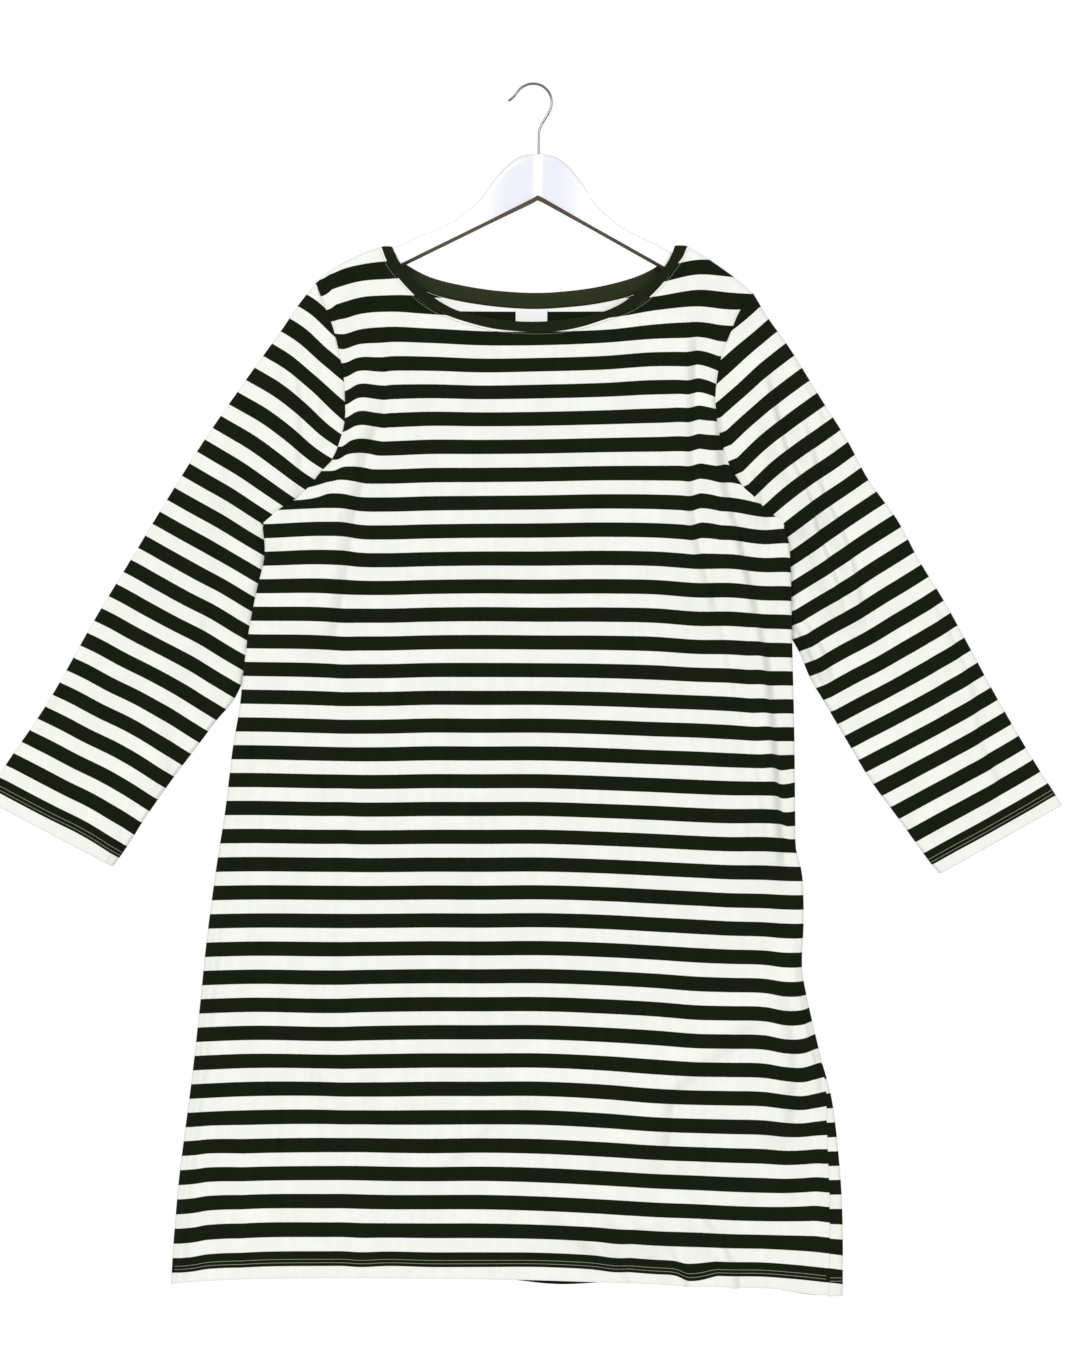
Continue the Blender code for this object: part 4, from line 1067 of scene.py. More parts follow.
# %% Edges of a panel
def top_edge(neckline, across):
    """Upper edge: left shoulder, neckline, right shoulder; and which columns are the neck's."""
    corner = across[np.argmin(np.abs(across - CORNER_SHARE))]
    in_left = across < corner - SAME_SHARE
    in_right = across > 1 - corner + SAME_SHARE
    in_neck = ~(in_left | in_right)
    shoulder = slice(SHOULDER_ROWS[0], SHOULDER_ROWS[1] + 1)
    top = np.zeros((len(across), 2))
    top[in_left] = smooth_path(OUTER_LEFT[shoulder][::-1], across[in_left] / corner)
    top[in_right] = smooth_path(OUTER_RIGHT[shoulder], 1 - (1 - across[in_right]) / corner)
    top[in_neck] = smooth_path(neckline, (across[in_neck] - corner) / (1 - 2 * corner))
    return top, in_neck


def bottom_edge(layer, across):
    """Lower edge.

    The front stands y nearer to the eye and is raised by y (height of the eye - z) / distance
    to the eye. The back hangs lower by 5 exp(-((x - 27) / 42)^2).
    """
    bottom = smooth_path(HEM, across)
    if layer == "front":
        stands_out = body_depth(layer, bottom[:, 0], bottom[:, 1])
        bottom[:, 1] += HEM_RADIUS + stands_out * (EYE_UP - bottom[:, 1]) / EYE_AWAY
    else:
        nearness = np.exp(-((bottom[:, 0] - BACK_DROP_MIDDLE) / BACK_DROP_REACH) ** 2)
        bottom[:, 1] -= BACK_HEM_DROP * nearness
    return bottom


def panel_plan(neckline, layer):
    """Grid of (across, up) of a panel, and which of its points lie on the outline.

    With u across and v down, from 0 to 1, a column runs straight from a level line at the
    top to the hem, and (1 - v)^3 of the way from that line to the upper edge is added. Then
    (1 - u)^5 of the left side's distance from its column is added, and u^5 of the right's.
    """
    across = panel_columns()
    down = np.concatenate([ARMHOLE_ROWS * ARMHOLE_SHARE,
                           ARMHOLE_SHARE + SIDE_ROWS * (1 - ARMHOLE_SHARE)])
    top, in_neck = top_edge(neckline, across)
    bottom = bottom_edge(layer, across)
    left = np.vstack([smooth_path(ARMHOLE_LEFT, ARMHOLE_ROWS), smooth_path(SIDE_LEFT, SIDE_ROWS)])
    right = np.vstack([smooth_path(ARMHOLE_RIGHT, ARMHOLE_ROWS),
                       smooth_path(SIDE_RIGHT, SIDE_ROWS)])
    if layer == "front":
        right[:, 0] -= wrap_width(right[:, 1])
    u = across[None, :, None]
    v = down[:, None, None]
    level = (1 - across) * top[0, 1] + across * top[-1, 1]
    straight = (1 - v) * np.stack([top[:, 0], level], axis=1) + v * bottom
    straight[..., 1] += (1 - down[:, None]) ** 3 * (top[:, 1] - level)
    plan = (straight + (1 - u) ** SIDE_PULL * (left[:, None] - straight[:, :1])
            + u ** SIDE_PULL * (right[:, None] - straight[:, -1:]))
    outline = np.zeros(plan.shape[:2], bool)
    outline[0] = ~in_neck
    outline[0, np.flatnonzero(in_neck)[[0, -1]]] = True
    outline[len(ARMHOLE_ROWS) - 1:, [0, -1]] = True
    if layer == "front":
        outline[:, -1] &= wrap_width(plan[:, -1, 1]) == 0
    return plan, outline


# %% Turned hem
HEM_TURN = 24.0           # how far the cloth is turned up inside
TURN_ROWS = 7             # rows of the turning above its fold
FOLD_STEPS = 5            # rows round the fold
FOLD_ANGLES = np.linspace(0, np.pi, FOLD_STEPS + 1)[1:]
FOLD_CLOTH = np.linspace(0.7, 3.6, FOLD_STEPS)  # cloth used up by then, in all about pi r
THIN_DEPTH = 3.0          # depth at which about two thirds of the turning go in along Y


def turn_hem(points, cloth):
    """Carry a grid on round its last row and back up inside.

    The roll has the angle a from 0 to pi: inwards by r (1 - cos a), down by r sin a. Then
    the rows above the hem are repeated 2 r further in. Inwards is along Y by the share
    1 - exp(-depth / 3), and for the rest along X, as at the side seams, where the panel
    doesn't stand out. The cloth distance goes on falling.
    """
    angle = FOLD_ANGLES[:, None]
    room = 1 - np.exp(-np.abs(points[..., 1]) / THIN_DEPTH)
    edge = np.repeat(points[-1:], FOLD_STEPS, axis=0)
    outward = np.sign(points[..., 1])
    aside = np.sign(points[..., 0].mean() - points[..., 0]) * (1 - room)
    edge[..., 0] += aside[-1] * HEM_RADIUS * (1 - np.cos(angle))
    edge[..., 1] -= outward[-1] * HEM_RADIUS * room[-1] * (1 - np.cos(angle))
    edge[..., 2] -= HEM_RADIUS * np.sin(angle)
    rise = points[-1, :, 2] - points[..., 2]
    back = np.argmax(-rise[:, 0] <= HEM_TURN + 1)
    picks = np.linspace(len(points) - 2, back, TURN_ROWS).round().astype(int)
    inside = points[picks].copy()
    inside[..., 0] += aside[picks] * 2 * HEM_RADIUS
    inside[..., 1] -= outward[picks] * 2 * HEM_RADIUS * room[picks]
    turned = np.concatenate([edge, inside])
    up = cloth[-1, :, 1] - np.concatenate([FOLD_CLOTH[:, None] + 0 * rise[:1],
                                           FOLD_CLOTH[-1] - rise[picks]])
    across = np.repeat(cloth[-1:, :, 0], len(turned), axis=0)
    return (np.concatenate([points, turned]),
            np.concatenate([cloth, np.stack([across, up], axis=2)]))


# %% Panels
# Painted light: where inside the neck the back panel's light yarn is lightened.
NECK_LIFT_LOW = -345.0  # height at which the lighter inside of the neck begins, and then
NECK_LIFT_RISE = 90.0   # how much higher it is in full
NECK_LIFT_MIDDLE = 4.0  # the middle of the lighter place, across
NECK_LIFT_HALF = 195.0  # half its width
NECK_LIFT_FADE = 85.0   # how far in from there it is in full


def back_wrap(points):
    """Extra columns that carry the back panel round its right edge, on the front's skin."""
    width = wrap_width(points[:, -1:, 2])
    x = points[:, -1:, 0] - width * np.array(WRAP_STEPS)
    z = points[:, -1:, 2] + 0 * x
    y = np.where(width > 0, -body_depth("front", x, z) - SEAM_GAP / 2, points[:, -1:, 1])
    return np.stack([x, y, z], axis=2)


def neck_painted_light(x, y, z):
    """Painted light in the neck: a soft step up in Z times a soft step in from both sides."""
    return (ease((z - NECK_LIFT_LOW) / NECK_LIFT_RISE)
            * ease((NECK_LIFT_HALF - abs(x - NECK_LIFT_MIDDLE)) / NECK_LIFT_FADE))


def make_panel(name, layer, neckline, replaced):
    """One body panel; the front faces -Y and the back +Y."""
    plan, outline = panel_plan(neckline, layer)
    x, z = plan[..., 0], plan[..., 1]
    depth = np.where(outline, 0, body_depth(layer, x, z))
    points = np.stack([x, FACING[layer] * (depth + SEAM_GAP / 2), z], axis=2)
    if layer == "back":
        points = np.concatenate([points, back_wrap(points)], axis=1)
    up = body_stripes(layer, points[..., 0], points[..., 1], points[..., 2])
    cloth = np.stack([points[..., 0], up], axis=2)
    points, cloth = turn_hem(points, cloth)
    mesh = grid_mesh(name, points, cloth, flip=layer == "back")
    # Painted light: the back panel's light yarn is lightened in the shaded recess of the neck.
    if layer == "back":
        mark_painted_light(mesh, neck_painted_light)
    panel = thicken(put_in_scene(name, mesh, striped_jersey))
    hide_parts(replaced)
    area = grid_area(points)
    size = [round(float(np.ptp(points[..., axis]))) for axis in (0, 2)]
    print(name, points.shape[:2], "points,", size, "mm,", round(area, 3), "m2")
    return panel, area


front_cloth, front_area = make_panel("front_cloth", "front", NECK_FRONT, "front_panel")
back_cloth, back_area = make_panel("back_cloth", "back", NECK_BACK, "back_panel")

# %% [markdown]
# ## Sleeves
#
# A set-in sleeve is a tapering tube, pressed flat. It is made of rings from the armhole to
# the cuff. A ring runs down the front from the outer edge to the underarm edge and back up
# behind. The first rings fan out round the armpit and keep some of the armhole's curve. Below
# the armpit the underarm edge lies behind the side of the body. Two flat halves would do as
# well, but rings close the pressed edges without a seam.

# %% Sleeve rings
# share of the outer edge, share of the under edge, how much of the armhole's curve is left
SLEEVE_RINGS = [
    (0, 0, 1), (0.12, 0.006, 0.6), (0.22, 0.014, 0.3), (0.3, 0.026, 0.12), (0.37, 0.045, 0.04),
    (0.43, 0.08, 0), (0.49, 0.14, 0), (0.56, 0.24, 0), (0.64, 0.36, 0), (0.73, 0.5, 0),
    (0.82, 0.66, 0), (0.91, 0.83, 0), (1, 1, 0)]
SLEEVE_ROWS = 150
SLEEVE_COLUMNS = 112      # across the front half of a ring
SLEEVE_ACROSS = crowded(SLEEVE_COLUMNS, 0.7)
SLEEVE_EDGES = {"left": (OUTER_LEFT, UNDER_LEFT, ARMHOLE_LEFT),
                "right": (OUTER_RIGHT, UNDER_RIGHT, ARMHOLE_RIGHT)}


def sleeve_rings():
    """The ring table read at many rings, close together at the armhole and the cuff."""
    places = np.linspace(0, 1, len(SLEEVE_RINGS))
    wanted = crowded(SLEEVE_ROWS, 0.55)
    table = np.array(SLEEVE_RINGS, float)
    over, under, bow = (between(places, table[:, k], wanted) for k in range(3))
    under = np.maximum.accumulate(under.clip(0, 1))
    return over.clip(0, 1), under, bow.clip(0, 1)


def sleeve_plan(side):
    """Front view of a sleeve's rings, (across, up), with their ends on both edges.

    A ring runs straight from the outer edge (s = 0) to the under edge (s = 1). The bow of
    the armhole is added, times the ring's own share to the power 1 + 4 s^4.
    """
    outer_rows, under_rows, armhole_rows = SLEEVE_EDGES[side]
    over_share, under_share, bow_left = sleeve_rings()
    share = SLEEVE_ACROSS
    over = smooth_path(outer_rows[SHOULDER_ROWS[1]:], over_share)
    under = smooth_path(under_rows, under_share)
    seam = smooth_path(armhole_rows, share)
    t = share[None, :, None]
    plan = (1 - t) * over[:, None] + t * under[:, None]
    bow = seam - (1 - share)[:, None] * over[0] - share[:, None] * under[0]
    plan = plan + (bow_left[:, None] ** (1 + 4 * share ** 4))[..., None] * bow
    return plan, over, under


print("sleeve rings:", SLEEVE_ROWS, "of", 2 * SLEEVE_COLUMNS - 2, "points")

# %% Sleeve depth
CUFF_SWELL_FROM = 0.4     # share of the outer edge from which the swell is the cuff's
TUCK_START = 0.07         # share of the under edge by which it has sunk behind the body
TUCK_END = 0.45           # share from which it rises again, and the share that this takes
TUCK_ACROSS = 0.8         # share of a ring by which the sinking is complete


def sleeve_skins(side, x, z):
    """Y of a sleeve's front and back skin and of the middle plane between them.

    The skins are a flattened tube with its folds. The middle plane lies 7.3 mm deep behind
    the body's side and comes back to the seam plane by soft steps: up, down and across.
    """
    outer_rows, under_rows, _ = SLEEVE_EDGES[side]
    over_share, under_share, _ = sleeve_rings()
    share = SLEEVE_ACROSS
    top = edge_distance(smooth_path(outer_rows, FINE), x, z)
    under = edge_distance(smooth_path(under_rows, FINE), x, z)
    settled = ease(over_share / CUFF_SWELL_FROM)[:, None]
    swell = BODY_SWELL + (SLEEVE_SWELL - BODY_SWELL) * settled
    depth = flattened_depth(x, z, top, under, swell)
    edge = np.minimum(top, under)
    front, back = (np.where((share == 0) | (share == 1), 0, depth + all_folds(layer, x, z, edge))
                   for layer in ("front", "back"))
    sink = ease(under_share / TUCK_START) * (1 - ease((under_share - TUCK_END) / TUCK_END))
    middle = TUCK_DEPTH * sink[:, None] * ease(share / TUCK_ACROSS)
    return middle - front, middle + back, middle + 0 * x


def way_in(points, centre, over, under):
    """Way from each point of the rings to their inner side.

    It is along Y by the share 1 - exp(-depth / 3), and for the rest across the sleeve,
    towards its middle line.
    """
    thin = np.exp(-np.abs(points - centre)[..., 1] / THIN_DEPTH)
    flat = (over + under)[:, None] / 2 - centre[..., [0, 2]]
    flat = flat / np.maximum(np.linalg.norm(flat, axis=2, keepdims=True), NO_LENGTH)
    return np.stack([thin * flat[..., 0], (1 - thin) * np.sign(centre - points)[..., 1],
                     thin * flat[..., 1]], axis=2)


# %% Cuffs
CUFF_TURN_ROWS = 6
CUFF_LINES = (-0.7, -4.3)  # distances up the cloth of the twin needle's two lines


def turn_cuff(points, cloth, inward):
    """Carry a sleeve's grid on round its last ring and back up inside it, as at the hem."""
    angle = FOLD_ANGLES[:, None, None]
    run = unit(points[-1] - points[-4])
    edge = (points[-1] + HEM_RADIUS * inward[-1] * (1 - np.cos(angle))
            + HEM_RADIUS * run * np.sin(angle))
    climb = np.linalg.norm((points - points[-1]).mean(axis=1), axis=1)
    back = np.argmax(climb <= HEM_TURN)
    picks = np.linspace(len(points) - 2, back, CUFF_TURN_ROWS).round().astype(int)
    inside = points[picks] + 2 * HEM_RADIUS * inward[picks]
    up = cloth[-1, :, 1] - np.concatenate([FOLD_CLOTH, FOLD_CLOTH[-1] + climb[picks]])[:, None]
    across = np.repeat(cloth[-1:, :, 0], len(up), axis=0)
    return (np.concatenate([points, edge, inside]),
            np.concatenate([cloth, np.stack([across, up], axis=2)]))


def line_on_grid(points, normal, up, height):
    """Path round a sleeve where the distance up its cloth has a given value, and its normals.

    In each column the value lies between two rows, at (one - height) / (one - other).
    """
    below = np.argmax(up < height, axis=0)
    column = np.arange(up.shape[1])
    one, other = up[below - 1, column], up[below, column]
    share = ((one - height) / (one - other))[:, None]
    return [(1 - share) * grid[below - 1, column] + share * grid[below, column]
            for grid in (points, normal)]


def make_sleeve(name, side, replaced):
    """One sleeve, from the armhole to the turned cuff, its area and its stitches' lines."""
    plan, over, under = sleeve_plan(side)
    x, z = plan[..., 0], plan[..., 1]
    front, back, middle = (np.stack([x, y, z], axis=2) for y in sleeve_skins(side, x, z))
    points, centre = ring_of(front, back), ring_of(middle, middle)
    cloth = np.stack(sleeve_stripes(side, points[..., 0], points[..., 2]), axis=2)
    normal = ring_normals(points)
    normal = normal * -np.sign(normal[len(points) // 2, SLEEVE_COLUMNS // 2, 1])
    lines = [line_on_grid(points, normal, cloth[..., 1], height) for height in CUFF_LINES]
    points, cloth = turn_cuff(points, cloth, way_in(points, centre, over, under))
    mesh = grid_mesh(name, points, cloth, ring=True, flip=side == "right")
    sleeve = thicken(put_in_scene(name, mesh, striped_jersey))
    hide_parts(replaced)
    area = grid_area(points, True)
    print(name, points.shape[:2], "points,", round(area, 3), "m2")
    return sleeve, area, lines


left_sleeve, left_area, left_lines = make_sleeve("left_sleeve_cloth", "left", "sleeve_left")
right_sleeve, right_area, right_lines = make_sleeve("right_sleeve_cloth", "right",
                                                    "sleeve_right")

# %% [markdown]
# ## Neckband
#
# The neckband is one strip of the dark jersey, folded double round the raw edge and sewn
# down. Seen in section it is a narrow loop: up the outside from the seam, round the free edge
# and down again inside. The section is carried round the neck opening, over both shoulders.
# A bevelled curve would be quicker, but it couldn't lie on the swell of both panels.

# %% Neckband
BAND_WALL = 2.4           # two layers of jersey with the raw edge between
BAND_PROUD = 0.5          # how far the neckband stands out from the panels
BAND_SECTION = 22         # points round the band's section
BAND_HALF = 90            # sections along the front half
BAND_INSET = 0.02         # share of its width by which the strip stays clear of either edge
BAND_SQUARE = 6           # how square its rounded edges are
# Painted light on the band's inner side behind; a painted shade line along the back seam.
BAND_LIGHT_LIFT = 0.75        # how light its inner side is, and then how much darker
BAND_SEAM_SHADE = 1.1      # it is along the back seam
BAND_SEAM_SHADE_REACH = 1.3


def half_band(layer, seam_rows, free_rows, rise):
    """Skin of half the band: rows across its width, columns along it.

    Over the shoulder its free edge is rounded by quarter(distance from the end / radius).
    """
    share = crowded(BAND_HALF, 0.85)
    seam = smooth_path(seam_rows, share)
    free = smooth_path(free_rows, share)
    plan = (1 - rise)[:, None, None] * seam + rise[:, None, None] * free
    from_end = np.minimum(*(np.linalg.norm(plan - plan[:, end], axis=2)
                            for end in (slice(0, 1), slice(-1, None))))
    flattening = rise[:, None] * (1 - quarter(from_end / SHOULDER_ROLL))
    depth = body_depth(layer, plan[..., 0], plan[..., 1]) * (1 - flattening)
    depth[:, [0, -1]] = 0
    return np.stack([plan[..., 0], FACING[layer] * depth, plan[..., 1]], axis=2)


def band_painted_light(x, y, z):
    """Share of the lighter yarn: 0.2, and behind y = 1 up to 0.75 more as painted light; along
    the back seam it falls to the plain dark yarn as a painted shade line.
    """
    away = edge_distance(smooth_path(NECK_BACK, FINE), x, z)
    return 0.2 + ease((y - 1) / 5) * (
        BAND_LIGHT_LIFT - BAND_SEAM_SHADE * np.exp(-(away / BAND_SEAM_SHADE_REACH) ** 4))


def make_band():
    """The folded strip: its two layers stand h (1 - (2 s - 1)^6)^(1/2) off a middle skin.

    s runs from the seam (0) to the free edge (1). At the seam the layers stay apart by at
    least their own thickness.
    """
    angle = np.linspace(0, np.pi, BAND_SECTION // 2 + 1)
    share = (1 - np.cos(angle)) / 2
    rise = BAND_INSET + (1 - 2 * BAND_INSET) * share
    front = half_band("front", NECK_FRONT, NECK_FRONT_FREE, rise)
    back = half_band("back", NECK_BACK, NECK_BACK_FREE, rise)
    skin = ring_of(front, back)
    normal = ring_normals(skin)
    if normal[0, BAND_HALF // 2, 1] > 0:
        normal = -normal
    half = BAND_WALL / 2 * np.sqrt(1 - np.abs(2 * share - 1) ** BAND_SQUARE)
    half = np.where(share < 0.5, np.maximum(half, CLOTH), half)
    middle = skin + (BAND_PROUD - BAND_WALL / 2) * normal
    outside = middle + half[:, None, None] * normal
    inside = (middle - half[:, None, None] * normal)[:-1][::-1]
    strip = np.concatenate([outside, inside])
    seam_length = travelled(np.concatenate([strip[0], strip[0, :1]]))
    width = travelled(strip[:, BAND_HALF // 2])
    cloth = np.stack(np.broadcast_arrays(seam_length[None, :-1], width[:, None]), axis=2)
    mesh = grid_mesh("neckband_cloth", strip, cloth, ring=True, flip=True)
    # Painted light and shade on the band's inner side: lighter behind, darker along the back seam.
    mark_painted_light(mesh, band_painted_light)
    band = thicken(put_in_scene("neckband_cloth", mesh, dark_jersey))
    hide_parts("neck_band")
    print("neckband: strip", round(float(width[-1]), 1), "mm wide,",
          round(float(seam_length[-1])), "mm round,", round(grid_area(strip, True), 4), "m2")
    return band, (float(width[-1]), float(seam_length[-1]))


neckband, band_size = make_band()

# %% [markdown]
# ## Stitches
#
# A line of stitches is a thread that dips into the cloth at every needle hole. It is made as
# one thin tube along a path on the cloth: its height over the surface is the depth of an arch
# that repeats with the stitch length, so the tube shows as separate dashes. Dashes could be
# painted into the jersey instead, but real threads catch the light.

# %% Thread along a path
THREAD = 0.22             # radius of the sewing thread
STITCH = 3.1              # length of one stitch
THREAD_SIDES = 5
THREAD_STEP = 0.62        # distance between two rings of the tube


def even_steps(points, step):
    """Points of a polyline at even steps of its length, counted over all its columns."""
    length = travelled(points)
    wanted = np.linspace(0, length[-1], max(2, int(length[-1] / step)))
    return np.stack([np.interp(wanted, length, column) for column in points.T], axis=1)


def thread_tube(points, outward, thread=THREAD):
    """Tube round a path on the cloth, lifted by r (2.2 |sin(pi s / stitch)| - 1.2).

    s is the distance along the path. A ring is r cos a beside the path and r sin a upright
    on the cloth, for a from 0 to 2 pi.
    """
    fine = even_steps(np.hstack([points, outward]), THREAD_STEP)
    centre, outward = fine[:, :3], unit(fine[:, 3:])
    length = travelled(centre)
    lift = thread * (2.2 * np.abs(np.sin(np.pi * length / STITCH)) - 1.2)
    centre = centre + outward * lift[:, None]
    run = unit(np.gradient(centre, axis=0))
    beside = unit(np.cross(run, outward))
    upright = np.cross(beside, run)
    turn = np.linspace(0, 2 * np.pi, THREAD_SIDES, endpoint=False)
    ring = (centre[:, None] + thread * (np.cos(turn)[:, None] * beside[:, None]
                                        + np.sin(turn)[:, None] * upright[:, None]))
    cloth = np.stack(np.broadcast_arrays(turn[None, :] * THREAD, length[:, None]), axis=2)
    return ring, cloth


def sew(name, tubes):
    """Join thread tubes into one piece, each closed at its ends."""
    points, faces, cloth = [], [], []
    count = 0
    for ring, uv in tubes:
        rows, sides = ring.shape[:2]
        points.append(ring.reshape(-1, 3))
        cloth.append(uv.reshape(-1, 2))
        faces += tube_faces(rows, sides, count)
        count += rows * sides
    mesh = closed_mesh(name, np.vstack(points), faces, np.vstack(cloth))
    print(name, len(mesh.polygons), "faces")
    return put_in_scene(name, mesh, seam_thread)


# %% Places on a panel
JUST_ABOVE = 0.1          # how far a thread's path lies above the cloth
SLOPE_STEP = 0.5          # how far to either side the slope of the cloth is taken


def on_panel(layer, x, z, above=JUST_ABOVE):
    """Points just above a body panel, and the outward direction there.

    With d the depth, the direction is (-slope of d in X, 1 forwards or backwards, -slope in Z).
    """
    depth = body_depth(layer, x, z)
    slope_x = (body_depth(layer, x + SLOPE_STEP, z)
               - body_depth(layer, x - SLOPE_STEP, z)) / (2 * SLOPE_STEP)
    slope_z = (body_depth(layer, x, z + SLOPE_STEP)
               - body_depth(layer, x, z - SLOPE_STEP)) / (2 * SLOPE_STEP)
    outward = np.stack([-slope_x, np.full(x.shape, float(FACING[layer])), -slope_z], axis=1)
    points = np.stack([x, FACING[layer] * (depth + SEAM_GAP / 2 + above), z], axis=1)
    return points, outward


# %% [markdown]
# The neckband's seam allowance is held down by one line of fine stitches on the panels, just
# below the band, all the way round.

# %% Neck topstitch
TOPSTITCH_AWAY = 2.0      # distance of the topstitch from the band's seam
TOPSTITCH_THREAD = THREAD * 0.55
TOPSTITCH_SHARES = np.linspace(0.012, 0.988, 160)  # of the neckline; the rest is shoulder


def offset_line(rows, distance, shares):
    """A line beside a smooth path: with its direction (a, b), shifted by distance (b, -a)."""
    line = smooth_path(rows, shares)
    run = unit(np.gradient(line, axis=0))
    return line + distance * np.stack([run[:, 1], -run[:, 0]], axis=1)


neck_tubes = []
for layer, rows in (("front", NECK_FRONT), ("back", NECK_BACK)):
    line = offset_line(rows, TOPSTITCH_AWAY, TOPSTITCH_SHARES)
    neck_tubes.append(thread_tube(*on_panel(layer, line[:, 0], line[:, 1]), TOPSTITCH_THREAD))
neck_topstitch = sew("neck_topstitch", neck_tubes)

# %% [markdown]
# The skirt's hem and the cuffs are sewn with a twin needle: two lines side by side, just over
# three millimetres apart. On the skirt both lines run through the lowest dark stripe and
# follow it where it sags.

# %% Hem and cuff stitches
TWIN_APART = 3.2          # distance between the needles
HEM_LINES = (-0.6, -0.6 - TWIN_APART)  # distances up the cloth of the two lines
LINE_LEFT = -346.5        # where across the lines begin
LINE_RIGHT = 298.0        # and where they end
LINE_UP = -1140.0         # about how high they run, where the wrapped seam's place is read
LINE_POINTS = 260
WRAP_LINE = np.linspace(288.0, 299.5, 12)  # places across where the wrapped back shows them
WRAP_ABOVE = 0.3          # how far they lie above the cloth there


def stripe_line(layer, x, phase):
    """Height of a given distance up the cloth at each x, found by repeated correction."""
    z = np.full(x.shape, HEM_STRIPE_UP + phase)
    for _ in range(6):
        y = FACING[layer] * body_depth(layer, x, z)
        z = z - (body_stripes(layer, x, y, z) - phase)
    return z


hem_tubes = []
for layer in ("front", "back"):
    wrapped = wrap_width(np.array(LINE_UP)) if layer == "front" else 0
    x = np.linspace(LINE_LEFT, LINE_RIGHT - wrapped, LINE_POINTS)
    for phase in HEM_LINES:
        hem_tubes.append(thread_tube(*on_panel(layer, x, stripe_line(layer, x, phase))))
for phase in HEM_LINES:
    z = stripe_line("front", WRAP_LINE, phase) - SEAM_MISMATCH
    hem_tubes.append(thread_tube(*on_panel("front", WRAP_LINE, z, WRAP_ABOVE)))
hem_stitches = sew("hem_twin_stitches", hem_tubes)


def closed_thread(line, normal):
    """Thread tube round a sleeve, lifted just off the cloth; its ends meet."""
    line, normal = (np.concatenate([grid, grid[:1]]) for grid in (line, normal))
    return thread_tube(line + JUST_ABOVE * normal, normal)


left_stitches = sew("left_cuff_stitches", [closed_thread(*line) for line in left_lines])
right_stitches = sew("right_cuff_stitches", [closed_thread(*line) for line in right_lines])

# %% [markdown]
# ## Label, hanger and hook
#
# The neck label is a short piece of woven tape whose upper edge is caught in the neck seam.
# It is left blank.

# %% Label
LABEL_WIDTH = 31.0
LABEL_HEIGHT = 21.0
LABEL_WALL = 0.5
LABEL_MIDDLE = -1.0       # where across its middle hangs
LABEL_SEAM = -216.0       # height of its upper edge, at the back neck seam
LABEL_AWAY = 0.5          # how far it stands off the panel's inner side
LABEL_SIDE_CURL = 0.5     # how much further its side edges do
LABEL_END_CURL = 0.4      # and its lower edge


def make_label():
    """A strip that hangs from the back neck seam in front of the back panel's inner side.

    With u from -1 to 1 across and v from 0 to 1 down, it curls by 0.5 |u|^6 + 0.4 v^3.
    """
    across = np.linspace(-0.5, 0.5, 25) * LABEL_WIDTH
    drop = np.linspace(0, 1, 19) * LABEL_HEIGHT
    x = LABEL_MIDDLE + across[None, :] + 0 * drop[:, None]
    z = LABEL_SEAM - drop[:, None] + 0 * x
    curl = (LABEL_SIDE_CURL * (np.abs(across[None, :]) / (LABEL_WIDTH / 2)) ** 6
            + LABEL_END_CURL * (drop[:, None] / LABEL_HEIGHT) ** 3)
    y = body_depth("back", x, z) - CLOTH - LABEL_AWAY - curl
    points = np.stack([x, y, z], axis=2)
    mesh = grid_mesh("neck_label_tape", points, np.stack([x, z], axis=2), flip=True)
    label = thicken(put_in_scene("neck_label_tape", mesh, woven_tape), LABEL_WALL)
    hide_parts("neck_label")
    print("label:", LABEL_WIDTH, "by", LABEL_HEIGHT, "mm")
    return label


neck_label = make_label()

# %% [markdown]
# The hanger is a flat wishbone of wood, a little tilted under the dress. Its section is round
# on top, nearly square below, and thickest along the middle where a soft ridge runs down from
# the hook. Upright sections are set side by side from one arm's end to the other, because a
# bevelled curve has only one section, and this one changes all the way.

# %% Hanger outline
HANGER_AXIS = 6.0         # the hook's stem stands this far to the right of its crown
HANGER_TOP = -67.5        # height of the hanger's head below the crown
HANGER_TILT = math.radians(1.6)
HANGER_HALF_THICKNESS = 6.0
HANGER_RIDGE = 2.0        # extra thickness of the head along its centre line
HANGER_RIDGE_REACH = 46.0
HANGER_UNDER_PEAK = 41.3  # drop from the head's top to the peak of the underside
HANGER_UNDER_SLOPE = 0.526
HANGER_UPPER = [          # (distance from the stem, drop below the head's top)
    (0, 0), (12, 1), (21, 4.5), (31, 12.5), (39, 22), (46, 31), (54, 43.5), (66, 55.5),
    (85, 69.5), (116, 84), (137, 94.2), (150, 98), (166, 102.8), (183, 111.2), (193, 119.5),
    (203, 130)]
HANGER_REACH = HANGER_UPPER[-1][0]
HANGER_SECTION = 48       # points round a section
END_LENGTH = 10.0         # last stretch of an arm, where the sections crowd together
END_HEIGHT = 0.18         # share of its height that an arm has left at its very end,
END_HEIGHT_LENGTH = 12.0  # and the length over which the rest is lost
END_THICKNESS = 0.35      # the same for its thickness
END_THICKNESS_LENGTH = 6.0
UNDER_CORNER = 1.2        # radius of the underside's edges
SQUARENESS = 3            # a flat stretch of a section ends where cos a, or sin a, is 1 / 3
UNDER_BEVEL = 1.1         # how much lower the underside's back edge is
UNDER_LEFT_LOWER = 1.2    # how much further the left arm's underside hangs


def on_hanger(points):
    """Place points of the upright hanger: turned about the top of its head, then shifted."""
    cos, sin = math.cos(HANGER_TILT), math.sin(HANGER_TILT)
    x, z = points[..., 0], points[..., 2]
    return np.stack([x * cos + z * sin + HANGER_AXIS, points[..., 1],
                     -x * sin + z * cos + HANGER_TOP], axis=-1)


